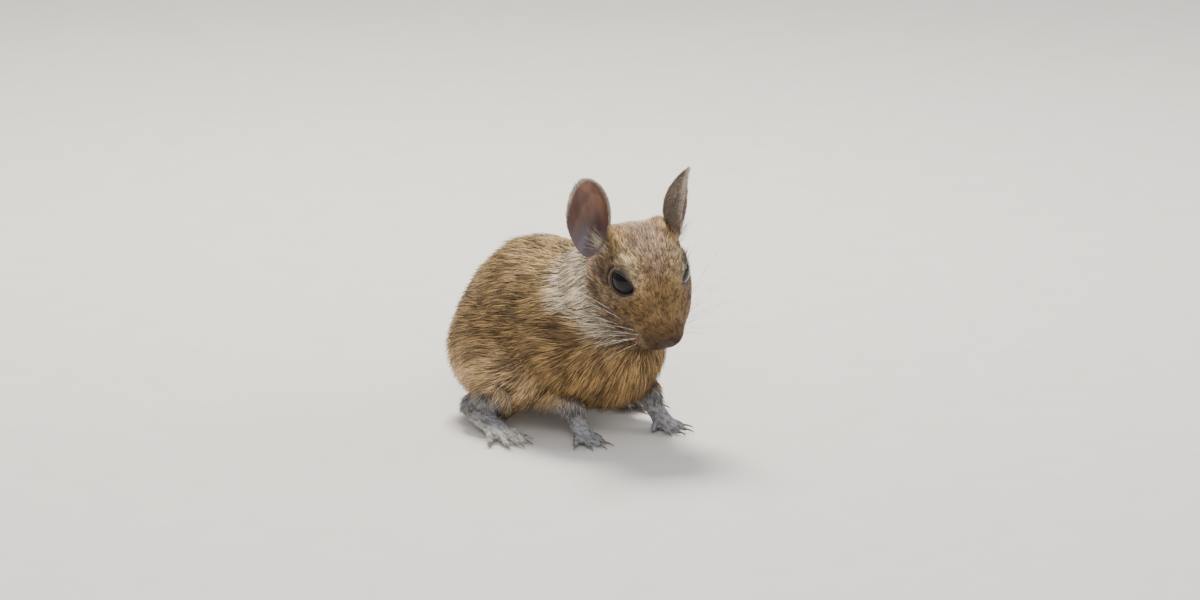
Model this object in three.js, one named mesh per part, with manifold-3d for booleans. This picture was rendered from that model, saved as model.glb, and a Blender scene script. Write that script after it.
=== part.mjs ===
// A degu, life size, crouched on the floor with its head hanging and turned to its right.
// Millimetres, +Z up. It faces -Y, and its right side is -X. The origin is on the floor,
// under the middle of its outer box. The solids reach out to the tips of the coat.

import * as THREE from 'three';
import { mergeVertices } from 'three/addons/utils/BufferGeometryUtils.js';
import Module from 'manifold-3d';

const wasm = await Module();
wasm.setup();

// Driving dimensions
const GAP = 0.3;

const HEAD_NOSE = [-1, -25.8, 39.4];
const HEAD_PITCH = 45;
const HEAD_TURN = 15;
const HEAD_ROLL = 7;
const SKULL_WIDTH = 27.6;
const EYE_RADIUS = 5.9;
const EYE_PLACE = [8.6, 22.6, 9.8];
const EAR_THICKNESS = 1.3;
const EAR_DEPTH = 5.2;
const EAR_SQUARENESS = 0.86;
const EARS = {
  left: { base: [12.4, 37.8, 10.2], height: 27, width: 18.5, outward: 66, lean: 14, back: 35 },
  right: { base: [16.2, 38.6, 8], height: 29.5, width: 17.6, outward: 58, lean: -1, back: 34 },
};

const BACK_HEIGHT = 66.5;
const BODY_WIDTH = 55;
const TAIL_RADIUS = 4.2;
const BRUSH_RADIUS = 6.6;

const FORE_SIZES = { length: 15.5, palm: 8, digit: 1.2, fan: 0.42 };
const HIND_SIZES = { length: 34, palm: 8, digit: 1.3, fan: 0.6 };

// How finely the round masses are divided
const HEAD_DETAIL = 8;
const POCKET_DETAIL = 7;
const TRUNK_DETAIL = 8;
const LEG_DETAIL = 2;
const PAW_DETAIL = 2;

// Colours of the real animal
const COLOURS = {
  coat: '#9c7b4c',
  face: '#8f6f47',
  legs: '#7f8791',
  ear: '#7c5147',
  eye: '#0d0d12',
  claw: '#3a3638',
  brush: '#2b2522',
};

const rad = THREE.MathUtils.degToRad;
const V = (x, y, z) => new THREE.Vector3(x, y, z);
const vec = (list) => V(list[0], list[1], list[2]);
const mirrored = (list, side) => [list[0] * side, list[1], list[2]];

// Fields: each gives the distance from a point to a surface, below zero inside it

function ellipsoid(centre, radii, tilt = [0, 0, 0]) {
  const middle = vec(centre);
  const r = vec(radii);
  const turn = new THREE.Quaternion()
    .setFromEuler(new THREE.Euler(rad(tilt[0]), rad(tilt[1]), rad(tilt[2])))
    .invert();
  const q = V(0, 0, 0);
  return (p) => {
    q.copy(p).sub(middle).applyQuaternion(turn).divide(r);
    const near = q.length();
    const slope = q.divide(r).length();
    return slope > 0 ? (near * (near - 1)) / slope : -Math.min(r.x, r.y, r.z);
  };
}

function roundCone(from, to, fromRadius, toRadius) {
  const start = vec(from);
  const axis = vec(to).sub(start);
  const span = axis.lengthSq();
  const q = V(0, 0, 0);
  return (p) => {
    q.copy(p).sub(start);
    const along = THREE.MathUtils.clamp(q.dot(axis) / span, 0, 1);
    q.addScaledVector(axis, -along);
    return q.length() - THREE.MathUtils.lerp(fromRadius, toRadius, along);
  };
}

function softMin(a, b, softness) {
  const overlap = Math.max(softness - Math.abs(a - b), 0) / softness;
  return Math.min(a, b) - overlap * overlap * softness * 0.25;
}

function blend(softness, ...fields) {
  return (p) => fields.reduce((least, field) => softMin(least, field(p), softness), Infinity);
}

// Solids: closed meshes that can be joined and cut

function solidOf(geometry) {
  const bare = geometry.clone();
  bare.deleteAttribute('normal');
  bare.deleteAttribute('uv');
  const merged = mergeVertices(bare, 1e-4);
  const solid = new wasm.Manifold(new wasm.Mesh({
    numProp: 3,
    vertProperties: new Float32Array(merged.attributes.position.array),
    triVerts: new Uint32Array(merged.index.array),
  }));
  return solid;
}

function geometryOf(solid) {
  const mesh = solid.getMesh();
  const geometry = new THREE.BufferGeometry();
  geometry.setAttribute('position', new THREE.BufferAttribute(mesh.vertProperties, 3));
  geometry.setIndex(new THREE.BufferAttribute(mesh.triVerts, 1));
  geometry.computeVertexNormals();
  return geometry;
}

// Swapping two corners of every face turns a mirrored mesh the right way out
function turnFaces(geometry) {
  const index = geometry.index.array;
  for (let i = 0; i < index.length; i += 3) {
    const keep = index[i];
    index[i] = index[i + 1];
    index[i + 1] = keep;
  }
  return geometry;
}

// A shape built for the left side, and mirrored where side is -1
function onSide(geometry, side) {
  return side < 0 ? turnFaces(geometry.scale(-1, 1, 1)) : geometry;
}

function largestPiece(solid) {
  const pieces = solid.decompose();
  return pieces.reduce((best, piece) => (piece.volume() > best.volume() ? piece : best));
}

function join(...solids) {
  return solids.reduce((whole, solid) => whole.add(solid));
}

function cut(solid, ...tools) {
  return tools.reduce((left, tool) => left.subtract(tool), solid);
}

// A big block that fills the side of a plane that its normal points to
const BLOCK = 400;
function halfSpace(point, normal) {
  const geometry = new THREE.BoxGeometry(BLOCK, BLOCK, BLOCK);
  geometry.translate(0, 0, BLOCK / 2);
  const turn = new THREE.Quaternion().setFromUnitVectors(V(0, 0, 1), vec(normal).normalize());
  geometry.applyQuaternion(turn);
  geometry.translate(point[0], point[1], point[2]);
  return solidOf(geometry);
}

const floorBlock = halfSpace([0, 0, 0], [0, 0, -1]);

// A round mass: the points of a sphere pushed out, from a line inside it, to a field's surface
const RAY_STEP = 0.8;
const RAY_HALVINGS = 16;
function mass(field, from, to, detail, grow = 0) {
  const start = vec(from);
  const axis = vec(to).sub(start);
  const turn = new THREE.Quaternion().setFromUnitVectors(V(0, 0, 1), axis.clone().normalize());
  const sphere = new THREE.IcosahedronGeometry(1, detail);
  sphere.deleteAttribute('normal');
  sphere.deleteAttribute('uv');
  const geometry = mergeVertices(sphere, 1e-4);
  const position = geometry.attributes.position;
  const p = V(0, 0, 0);
  for (let i = 0; i < position.count; i += 1) {
    const ray = V(0, 0, 0).fromBufferAttribute(position, i);
    const origin = start.clone().addScaledVector(axis, (ray.z + 1) / 2);
    ray.applyQuaternion(turn);
    const outside = (t) => field(p.copy(origin).addScaledVector(ray, t)) > grow;
    let near = 0;
    let far = RAY_STEP;
    while (!outside(far) && far < BLOCK) {
      near = far;
      far += RAY_STEP;
    }
    for (let k = 0; k < RAY_HALVINGS; k += 1) {
      const middle = (near + far) / 2;
      if (outside(middle)) {
        far = middle;
      } else {
        near = middle;
      }
    }
    p.copy(origin).addScaledVector(ray, near);
    position.setXYZ(i, p.x, p.y, p.z);
  }
  return geometry;
}

// A long piece: rings of half width and half height along a smooth path, closed at both ends
function loft(path, sectionAt, { sides = 8, rings = 6, up = [0, 0, 1] } = {}) {
  const curve = new THREE.CatmullRomCurve3(path.map(vec));
  const upward = vec(up);
  const corners = [];
  const faces = [];
  for (let i = 0; i <= rings; i += 1) {
    const t = i / rings;
    const middle = curve.getPoint(t);
    const tangent = curve.getTangent(t);
    const side = tangent.clone().cross(upward).normalize();
    const top = side.clone().cross(tangent).normalize();
    const [halfWidth, halfHeight] = sectionAt(t);
    for (let k = 0; k < sides; k += 1) {
      const angle = (2 * Math.PI * k) / sides;
      const corner = middle.clone()
        .addScaledVector(side, Math.cos(angle) * halfWidth)
        .addScaledVector(top, Math.sin(angle) * halfHeight);
      corners.push(corner.x, corner.y, corner.z);
    }
  }
  for (let i = 0; i < rings; i += 1) {
    for (let k = 0; k < sides; k += 1) {
      const a = i * sides + k;
      const b = i * sides + ((k + 1) % sides);
      faces.push(a, b + sides, b, a, a + sides, b + sides);
    }
  }
  const lastRing = rings * sides;
  for (let k = 1; k < sides - 1; k += 1) {
    faces.push(0, k, k + 1);
    faces.push(lastRing, lastRing + k + 1, lastRing + k);
  }
  const geometry = new THREE.BufferGeometry();
  geometry.setAttribute('position', new THREE.Float32BufferAttribute(corners, 3));
  geometry.setIndex(faces);
  return geometry;
}

// The head, in its own frame: X to its left, Y back from the nose, Z up from the muzzle
const headPlace = new THREE.Matrix4()
  .makeRotationFromEuler(new THREE.Euler(rad(HEAD_PITCH), rad(-HEAD_ROLL), rad(-HEAD_TURN), 'ZXY'))
  .setPosition(vec(HEAD_NOSE));
const inHead = (geometry) => geometry.applyMatrix4(headPlace);

const skullHalf = SKULL_WIDTH / 2;
const headField = blend(
  5,
  ellipsoid([0, 2.4, 0.2], [4.4, 2.6, 3]),
  roundCone([0, 6.2, 1], [0, 20, 5.4], 6.2, 10.4),
  ellipsoid([4.8, 8.2, -2.6], [5, 6.8, 5]),
  ellipsoid([-4.8, 8.2, -2.6], [5, 6.8, 5]),
  ellipsoid([0, 9.6, -6], [4, 5, 3.6]),
  roundCone([0, 12, -5], [0, 29, -6.5], 5.6, 10),
  ellipsoid([8.6, 21, -2.4], [8, 13, 9.9]),
  ellipsoid([-8.6, 21, -2.4], [8, 13, 9.9]),
  ellipsoid([0, 30, 5.2], [skullHalf, 16, 13]),
  ellipsoid([9, 36.5, 10], [5.8, 7.5, 6.6]),
  ellipsoid([-9, 36.5, 10], [5.8, 7.5, 6.6]),
  ellipsoid([10.4, 29, -4], [9, 12, 12]),
  ellipsoid([-10.4, 29, -4], [9, 12, 12]),
  ellipsoid([7.6, 22.8, 9.6], [6.6, 9.2, 6.8]),
  ellipsoid([-7.6, 22.8, 9.6], [6.6, 9.2, 6.8]),
);

const HEAD_LINE = [[0, 33, 2], [0, 6, -0.5]];
function headMass(grow, detail = HEAD_DETAIL) {
  return solidOf(inHead(mass(headField, HEAD_LINE[0], HEAD_LINE[1], detail, grow)));
}

// Where a ray from the middle of the head, in the head's own frame, leaves its surface
function headSurface(from, towards, depth = 0) {
  const origin = vec(from);
  const ray = vec(towards).normalize();
  let t = 0;
  while (headField(origin.clone().addScaledVector(ray, t)) < -depth) {
    t += 0.05;
  }
  return origin.addScaledVector(ray, t).toArray();
}

function eyeBall(side, grow = 0, detail = 2) {
  const geometry = new THREE.IcosahedronGeometry(EYE_RADIUS + grow, detail);
  geometry.translate(...mirrored(EYE_PLACE, side));
  return inHead(geometry);
}

// Lids: an almond ring that lies on the eyeball, open as far as the dozy eye shows
const LID = { halfLength: 1.55, halfOpen: 0.92, radius: 0.8, slant: -16 };
const EYE_OUT = V(0.86, -0.4, 0.31).normalize();
const eyeForward = V(0, -1, 0).projectOnPlane(EYE_OUT).normalize().applyAxisAngle(EYE_OUT, rad(LID.slant));
const eyeUpward = EYE_OUT.clone().cross(eyeForward);

// A direction from the middle of the eye to its almond outline, out from it by some share
function almondRay(angle, out) {
  const across = (LID.halfOpen + out) * Math.sin(angle) * (0.72 + 0.28 * Math.abs(Math.sin(angle)));
  return EYE_OUT.clone()
    .addScaledVector(eyeForward, (LID.halfLength + out) * Math.cos(angle))
    .addScaledVector(eyeUpward, across)
    .normalize();
}

function lidRing(side) {
  const ring = new THREE.TorusGeometry(1, 0.5, 5, 18);
  const position = ring.attributes.position;
  for (let i = 0; i < position.count; i += 1) {
    const reach = Math.hypot(position.getX(i), position.getY(i));
    const angle = Math.atan2(position.getY(i), position.getX(i));
    const ray = almondRay(angle, ((reach - 1) * 2 * LID.radius) / EYE_RADIUS)
      .multiplyScalar(EYE_RADIUS + 0.3 + position.getZ(i) * 2 * LID.radius);
    position.setXYZ(i, ray.x, ray.y, ray.z);
  }
  ring.translate(...EYE_PLACE);
  return solidOf(inHead(onSide(ring, side)));
}

// What is cut away between the lids: a cone of the almond outline from the middle of the eye
function eyeOpening(side) {
  const cone = new THREE.ConeGeometry(1, 1, 18);
  const position = cone.attributes.position;
  for (let i = 0; i < position.count; i += 1) {
    const reach = Math.hypot(position.getX(i), position.getZ(i));
    const atApex = position.getY(i) > 0;
    const angle = Math.atan2(position.getZ(i), position.getX(i));
    const ray = reach < 0.5 ? EYE_OUT.clone() : almondRay(angle, 0);
    ray.multiplyScalar(atApex ? 0 : EYE_RADIUS * 2);
    position.setXYZ(i, ray.x, ray.y, ray.z);
  }
  cone.translate(...EYE_PLACE);
  return solidOf(inHead(onSide(cone, side)));
}

// Nostrils: two comma-shaped pits in the nose pad
function nostril(side) {
  const pit = new THREE.SphereGeometry(1, 8, 6);
  pit.scale(0.75, 1.3, 0.5);
  pit.rotateZ(rad(-35 * side));
  pit.rotateY(rad(28 * side));
  pit.translate(1.75 * side, 0.35, 0);
  return solidOf(inHead(pit));
}

// The mouth: a thin groove from corner to corner under the nose, with a cleft up to the nose
function mouthGroove() {
  const corner = (side, back, down) => headSurface([0, back, -3], [side, 0, down], 0.15);
  const front = headSurface([0, 8, -3.4], [0, -1, -0.28], 0.15);
  const line = [
    corner(1, 11.5, -0.35), corner(1, 8.6, -0.42), headSurface([0, 8, -3.2], [0.45, -1, -0.32], 0.15),
    front,
    headSurface([0, 8, -3.2], [-0.45, -1, -0.32], 0.15), corner(-1, 8.6, -0.42), corner(-1, 11.5, -0.35),
  ];
  const groove = loft(line, () => [0.55, 0.45], { sides: 6, rings: 14 });
  const cleftTop = headSurface([0, 6, -0.6], [0, -1, -0.1], 0.1);
  const cleft = loft([cleftTop, headSurface([0, 7, -2], [0, -1, -0.2], 0.15), front], () => [0.45, 0.45], {
    sides: 6, rings: 4, up: [0, 1, 0],
  });
  return join(solidOf(inHead(groove)), solidOf(inHead(cleft)));
}

// Ears: thin cups with a rounded top, the rim turned forward, on a short stout root
function earCup(earHeight, earWidth) {
  const shell = new THREE.SphereGeometry(1, 20, 10);
  const position = shell.attributes.position;
  for (let i = 0; i < position.count; i += 1) {
    const u = position.getX(i);
    const face = position.getY(i);
    const v = position.getZ(i);
    const reach = Math.min(Math.hypot(u, v), 1);
    const height = (v + 1) / 2;
    const widest = 0.6 + 0.4 * Math.sin(Math.PI * (height * 0.72 + 0.08)) + 0.22 * Math.max(v, 0) ** 2;
    const half = (earWidth / 2) * widest;
    const curl = EAR_DEPTH * reach ** 2 + 3 * Math.max(u, 0) ** 3 * (1.2 - height);
    const lower = 2.4 * (1 - height) ** 2 * reach;
    const thick = EAR_THICKNESS * (0.5 + 0.35 * (1 - height));
    const across = Math.sign(u) * Math.abs(u) ** EAR_SQUARENESS * half;
    position.setXYZ(i, across, face * thick - curl - lower, height * earHeight);
  }
  return shell;
}

// The ear opens outward; it leans out and back from the crown
function placedEar(name, side) {
  const ear = EARS[name];
  const cup = earCup(ear.height, ear.width);
  cup.translate(0, 3.6, -2.5);
  const root = loft([[0, 7.5, -5.5], [0, 4.2, -1.5], [0, 3.3, 3.5]], (t) => [5.4 - 2 * t, 3.6 - 2.2 * t], {
    sides: 10, rings: 4, up: [0, 1, 0],
  });
  const geometry = geometryOf(join(solidOf(cup), solidOf(root)));
  geometry.rotateZ(rad(ear.outward));
  geometry.rotateY(rad(ear.lean));
  geometry.rotateX(rad(-ear.back));
  geometry.translate(...ear.base);
  return solidOf(inHead(onSide(geometry, side)));
}

// The trunk: neck, torso, thighs and upper arms are one smooth mass, parted by thin cuts
const bodyHalf = BODY_WIDTH / 2;
const bothSides = (make) => [make(1), make(-1)];
const trunkField = blend(
  7,
  roundCone([3.2, -2, 56.5], [1, 15, 46], 17, 21.5),
  ellipsoid([1.5, 10, 33], [22.5, 22, 23]),
  ellipsoid([0, 24, 40], [24, 24, 24.5]),
  ellipsoid([-0.5, 39.5, 37], [bodyHalf - 2, 27.5, BACK_HEIGHT - 37]),
  ellipsoid([-0.5, 54, 29.5], [23.5, 19.5, 24]),
  ...bothSides((side) => ellipsoid([side * 17.5, 47, 24], [12, 19, 18], [20, 0, 0])),
  ...bothSides((side) => ellipsoid([side * 23.5, 34, 17.5], [8.5, 13, 11], [30, 0, 0])),
  roundCone([-14.5, 12, 32], [-17.5, 19.5, 20], 8.5, 7.4),
  roundCone([15.5, 7, 32], [19.5, 14, 20], 8.5, 7.4),
);

// Legs: each is a chain of joints from the body down to the tips on the floor
const LIMBS = [
  {
    name: 'right', side: -1, armCut: [18, 21], elbow: [-17.5, 19, 17.5], wrist: [-14, 7.4, 11.5],
    handTurn: -8, thighCut: [46, 24], knee: [-26, 31, 15], heel: [-30.5, 43.5, 8.5], footTurn: -10,
  },
  {
    name: 'left', side: 1, armCut: [12.5, 21], elbow: [19.5, 13.5, 17.5], wrist: [18.4, 2, 11.5],
    handTurn: 4, thighCut: [46, 24], knee: [26, 31, 15], heel: [30.5, 46, 8.5], footTurn: 8,
  },
];

// Digits spread in a fan: each has a turn from the paw's own line, a length and a start
const FORE_DIGITS = [
  { turn: 62, reach: 0.42, start: 0.30 },
  { turn: 26, reach: 0.62, start: 0.46 },
  { turn: 6, reach: 0.72, start: 0.5 },
  { turn: -14, reach: 0.68, start: 0.48 },
  { turn: -40, reach: 0.55, start: 0.36 },
];
const HIND_DIGITS = [
  { turn: 38, reach: 0.28, start: 0.52 },
  { turn: 19, reach: 0.38, start: 0.6 },
  { turn: 4, reach: 0.42, start: 0.62 },
  { turn: -12, reach: 0.4, start: 0.61 },
  { turn: -32, reach: 0.32, start: 0.52 },
];

// A paw's frame: origin on the floor under the wrist or heel, X across, -Y towards the tips
function pawFrame(origin, turn, side) {
  const place = new THREE.Matrix4().makeRotationZ(rad(turn));
  place.setPosition(origin[0], origin[1], 0);
  const flip = new THREE.Matrix4().makeScale(side, 1, 1);
  return place.multiply(flip);
}

function digitPath(digit, sizes) {
  const heading = rad(digit.turn);
  const ahead = V(-Math.sin(heading), -Math.cos(heading), 0);
  const spread = sizes.palm * sizes.fan * Math.sin(rad(digit.turn * 1.6));
  const start = V(-spread, -sizes.length * digit.start, sizes.digit * 1.9);
  const reach = sizes.length * digit.reach * 0.62;
  const at = (share, height) => {
    const p = start.clone().addScaledVector(ahead, reach * share);
    return [p.x, p.y, height];
  };
  const r = sizes.digit;
  return [at(-0.5, r * 2.1), at(0.05, r * 2), at(0.5, r * 1.75), at(1, r * 0.86)];
}

function digitSolid(digit, sizes, frame) {
  const thickness = (t) => {
    const knuckles = 1 + 0.12 * Math.cos(2 * Math.PI * t * 2);
    const r = sizes.digit * knuckles * (t > 0.97 ? 0.62 : 1);
    return [r, r];
  };
  const geometry = loft(digitPath(digit, sizes), thickness, { sides: 6, rings: 4 });
  return turnedOut(geometry.applyMatrix4(frame), frame);
}

// A mirrored frame turns faces inwards, so their order is put back
function turnedOut(geometry, frame) {
  return solidOf(frame.determinant() < 0 ? turnFaces(geometry) : geometry);
}

const CLAW = { length: 3.4, radius: 0.55, sink: 0.9 };
function clawSolid(digit, sizes, frame, grow = 0) {
  const path = digitPath(digit, sizes);
  const tip = vec(path[3]);
  const ahead = tip.clone().sub(vec(path[2])).setZ(0).normalize();
  const at = (reach, height) => {
    const p = tip.clone().addScaledVector(ahead, reach);
    return [p.x, p.y, height];
  };
  const r = CLAW.radius;
  const line = [
    at(-CLAW.sink, sizes.digit * 1.1),
    at(CLAW.length * 0.35, sizes.digit),
    at(CLAW.length, 0.42 - grow * 0.2),
  ];
  const taper = (t) => {
    const half = r * (1 - 0.72 * t) + grow;
    return [half, half * 1.15];
  };
  const geometry = loft(line, taper, { sides: 5, rings: 3 });
  return turnedOut(geometry.applyMatrix4(frame), frame);
}

function pawField(sizes, fore) {
  if (fore) {
    return blend(
      2,
      roundCone([0, 0.6, 9.4], [0, -sizes.length * 0.3, 3.6], 3.3, 3),
      ellipsoid([0, -sizes.length * 0.38, 2.4], [sizes.palm * 0.5, sizes.length * 0.2, 2.8]),
    );
  }
  return blend(
    3,
    roundCone([0, 0, 7.5], [0, -sizes.length * 0.5, 3], 4.4, 3.2),
    ellipsoid([0, -sizes.length * 0.54, 2.5], [sizes.palm * 0.52, sizes.length * 0.14, 2.9]),
  );
}

const parts = [];
function addPart(name, solid, colour, roughness = 0.9) {
  parts.push({ name, solid: largestPiece(solid), colour, roughness });
}

// Build the head
const headPocket = headMass(GAP + 0.3, POCKET_DETAIL);
const eyes = [1, -1].map((side) => solidOf(eyeBall(side)));
const eyesGrown = [1, -1].map((side) => solidOf(eyeBall(side, GAP)));
const ears = [placedEar('left', 1), placedEar('right', -1)];
let head = join(headMass(0), lidRing(1), lidRing(-1));
head = cut(head, ...eyesGrown, eyeOpening(1), eyeOpening(-1), nostril(1), nostril(-1), mouthGroove());
addPart('head', head, COLOURS.face);
['left', 'right'].forEach((name, i) => {
  addPart(`eye_${name}`, eyes[i], COLOURS.eye, 0.08);
  addPart(`ear_${name}`, cut(ears[i], headPocket), COLOURS.ear, 0.7);
});

// Build the trunk, and part the neck from it
const TRUNK_LINE = [[1, 2, 49], [0, 58, 34]];
const trunk = cut(solidOf(mass(trunkField, TRUNK_LINE[0], TRUNK_LINE[1], TRUNK_DETAIL)), headPocket, ...ears);
const neckPlane = (shift) => halfSpace([0, 13 + shift, 66], [0, -0.78, 0.63]);
addPart('neck', trunk.intersect(neckPlane(0)), COLOURS.coat);
let torso = cut(trunk, neckPlane(GAP * 1.28));

// A limb's share of the trunk: all that lies inside an oval bar that runs out sideways
function ovalBar(side, inner, centre, halfSizes, grow = 0) {
  const bar = new THREE.CylinderGeometry(1, 1, 60, 24);
  bar.rotateZ(Math.PI / 2);
  bar.scale(1, halfSizes[0] + grow, halfSizes[1] + grow);
  bar.rotateX(rad(20));
  bar.translate(side * (inner + 30 - grow), centre[0], centre[1]);
  return solidOf(bar);
}

const tailPath = tailCurvePoints();
function tailCurvePoints() {
  return [
    [-0.5, 63, 21], [0.5, 71, 16], [4.5, 79.5, 9.5], [12, 88.5, 5.4], [22, 96, 4.2], [34, 100.5, 3.9],
    [46, 101, 3.8], [56.5, 96.5, 3.8], [63.5, 88, 3.8],
  ];
}
const tailCurve = new THREE.CatmullRomCurve3(tailPath.map(vec));
function tailLength(from, to, radiusAt, grow, rings) {
  const path = [];
  for (let i = 0; i <= rings; i += 1) {
    path.push(tailCurve.getPointAt(THREE.MathUtils.lerp(from, to, i / rings)).toArray());
  }
  return loft(path, (t) => {
    const r = radiusAt(THREE.MathUtils.lerp(from, to, t)) + grow;
    return [r, r];
  }, { sides: 10, rings });
}
const BRUSH_START = 0.62;
const tailRadius = (t) => TAIL_RADIUS * (1.35 - 0.75 * Math.min(t * 1.3, 1));
const coreRadius = (t) => THREE.MathUtils.mapLinear(t, BRUSH_START, 1, 2.9, 1.1);
const floorCut = (solid) => cut(solid, floorBlock);

// Each length of the tail runs a little past its ends, and is trimmed square to the curve there
const TAIL_SPLITS = [0, 0.3, BRUSH_START, 1];
const TAIL_SPARE = 0.03;
function tailPiece(index, radiusAt, rings, grow = 0) {
  const [from, to] = [TAIL_SPLITS[index], TAIL_SPLITS[index + 1]];
  const isLast = index === TAIL_SPLITS.length - 2;
  let piece = solidOf(tailLength(
    index === 0 ? from : from - TAIL_SPARE,
    isLast ? to : to + TAIL_SPARE,
    radiusAt, grow, rings,
  ));
  const trim = (t, direction, gap) => {
    const tangent = tailCurve.getTangentAt(t).multiplyScalar(direction);
    const point = tailCurve.getPointAt(t).addScaledVector(tangent, -gap);
    piece = cut(piece, halfSpace(point.toArray(), tangent.toArray()));
  };
  if (index > 0) {
    trim(from, -1, GAP);
  }
  if (!isLast) {
    trim(to, 1, 0);
  }
  return floorCut(piece);
}
const tailBase = tailPiece(0, tailRadius, 8);
const tailBaseGrown = tailPiece(0, tailRadius, 8, GAP);
const tailMiddle = tailPiece(1, tailRadius, 8);

// The brush: flat tapered locks, rooted in a thin core, lie over one another towards the tip
const LOCK = { count: 22, length: 18, halfWidth: 2.5, halfThick: 0.85, rootDepth: 1 };
const GOLDEN_ANGLE = 2.4;
let seed = 7;
function draw(low, high) {
  seed = (seed * 16807) % 2147483647;
  return low + ((high - low) * seed) / 2147483647;
}

function brushLock(start, around, length, spread) {
  const whole = tailCurve.getLength();
  const out = [Math.cos(around), Math.sin(around) * (Math.sin(around) < 0 ? 0.5 : 1)];
  const outwardAt = (t) => tailCurve.getTangentAt(Math.min(t, 1))
    .cross(V(0, 0, 1))
    .setLength(out[0])
    .add(V(0, 0, out[1]));
  const line = [0, 0.33, 0.67, 1].map((share) => {
    const t = start + (length * share) / whole;
    const past = tailCurve.getTangentAt(Math.min(t, 1)).multiplyScalar(Math.max(t - 1, 0) * whole);
    const reach = THREE.MathUtils.lerp(LOCK.rootDepth, spread, Math.sin((share * Math.PI) / 2));
    return tailCurve.getPointAt(Math.min(t, 1)).add(past).addScaledVector(outwardAt(t), reach).toArray();
  });
  const taper = (t) => {
    const share = Math.max(Math.sin(Math.PI * (0.28 + 0.68 * t)), 0.12);
    return [LOCK.halfWidth * share, LOCK.halfThick * share];
  };
  return solidOf(loft(line, taper, { sides: 4, rings: 3, up: outwardAt(start).toArray() }));
}

function brushLocks() {
  const locks = [];
  for (let i = 0; i < LOCK.count; i += 1) {
    const along = i / (LOCK.count - 1);
    const start = THREE.MathUtils.lerp(BRUSH_START + 0.01, 0.985, along);
    const spread = BRUSH_RADIUS * THREE.MathUtils.lerp(0.62, 1, Math.sin(Math.PI * Math.min(along * 1.2, 0.8)));
    const length = LOCK.length * draw(0.85, 1.15);
    locks.push(brushLock(start, i * GOLDEN_ANGLE + draw(-0.2, 0.2), length, spread * draw(0.85, 1)));
  }
  return locks;
}
const brushStart = tailCurve.getPointAt(BRUSH_START);
const brushTangent = tailCurve.getTangentAt(BRUSH_START);
const beforeBrush = halfSpace(
  brushStart.addScaledVector(brushTangent, GAP).toArray(),
  brushTangent.clone().negate().toArray(),
);
const tailBrush = cut(join(tailPiece(2, coreRadius, 6), ...brushLocks()), beforeBrush, floorBlock);
addPart('tail_base', tailBase, COLOURS.coat);
addPart('tail_middle', tailMiddle, COLOURS.coat);
addPart('tail_brush', tailBrush, COLOURS.brush);

const torsoPockets = [tailBaseGrown];

for (const limb of LIMBS) {
  const { name, side, elbow, wrist } = limb;
  const forearmShape = (grow) => solidOf(mass(roundCone(elbow, wrist, 6.2, 3.8), elbow, wrist, LEG_DETAIL, grow));
  const forearmGrown = forearmShape(GAP);

  // Hind leg
  const thighBar = (grow) => ovalBar(side, 12.5, limb.thighCut, [24.5, 20], grow);
  const thigh = torso.intersect(thighBar(0));
  torsoPockets.push(thighBar(GAP));

  const { heel, knee } = limb;
  const shankShape = (grow) => solidOf(mass(roundCone(knee, heel, 7, 4.5), knee, heel, LEG_DETAIL, grow));

  const footFrame = pawFrame([heel[0], heel[1]], limb.footTurn, side);
  const footShape = (grow) => turnedOut(
    mass(
      pawField(HIND_SIZES, false), [0, 0, 7], [0, -HIND_SIZES.length * 0.56, 3], PAW_DETAIL, grow,
    ).applyMatrix4(footFrame),
    footFrame,
  );
  const toes = HIND_DIGITS.map((digit) => digitSolid(digit, HIND_SIZES, footFrame));
  const toeClaws = HIND_DIGITS.map((digit) => clawSolid(digit, HIND_SIZES, footFrame));
  const toeClawsGrown = HIND_DIGITS.map((digit) => clawSolid(digit, HIND_SIZES, footFrame, GAP));
  const foot = floorCut(cut(join(footShape(0), ...toes), ...toeClawsGrown));
  const footGrown = footShape(GAP);
  const shank = cut(shankShape(0), footGrown, floorBlock);
  const shankGrown = shankShape(GAP);
  addPart(`thigh_${name}`, cut(thigh, shankGrown, footGrown, tailBaseGrown, forearmGrown), COLOURS.coat);
  torsoPockets.push(shankGrown, footGrown);
  addPart(`shank_${name}`, shank, COLOURS.legs);
  addPart(`foot_${name}`, foot, COLOURS.legs);
  toeClaws.forEach((claw, i) => {
    addPart(`hind_claw_${name}_${i + 1}`, floorCut(claw), COLOURS.claw, 0.4);
  });

  // Foreleg
  const armBar = (grow) => ovalBar(side, 10.5, limb.armCut, [9.5, 11], grow);
  const arm = cut(torso.intersect(armBar(0)), thighBar(GAP));
  torsoPockets.push(armBar(GAP));

  const handFrame = pawFrame([wrist[0], wrist[1]], limb.handTurn, side);
  const palmShape = (grow) => turnedOut(
    mass(
      pawField(FORE_SIZES, true), [0, 0.4, 6.8], [0, -FORE_SIZES.length * 0.36, 3], PAW_DETAIL, grow,
    ).applyMatrix4(handFrame),
    handFrame,
  );
  const fingers = FORE_DIGITS.map((digit) => digitSolid(digit, FORE_SIZES, handFrame));
  const clawed = FORE_DIGITS.slice(1);
  const fingerClaws = clawed.map((digit) => clawSolid(digit, FORE_SIZES, handFrame));
  const fingerClawsGrown = clawed.map((digit) => clawSolid(digit, FORE_SIZES, handFrame, GAP));
  const hand = floorCut(cut(join(palmShape(0), ...fingers), ...fingerClawsGrown));
  const handGrown = palmShape(GAP);
  const forearm = cut(forearmShape(0), handGrown);
  addPart(`upper_arm_${name}`, cut(arm, forearmGrown, handGrown), COLOURS.coat);
  torsoPockets.push(forearmGrown, handGrown);
  addPart(`forearm_${name}`, forearm, COLOURS.legs);
  addPart(`hand_${name}`, hand, COLOURS.legs);
  fingerClaws.forEach((claw, i) => {
    addPart(`fore_claw_${name}_${i + 1}`, floorCut(claw), COLOURS.claw, 0.4);
  });
}

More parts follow.
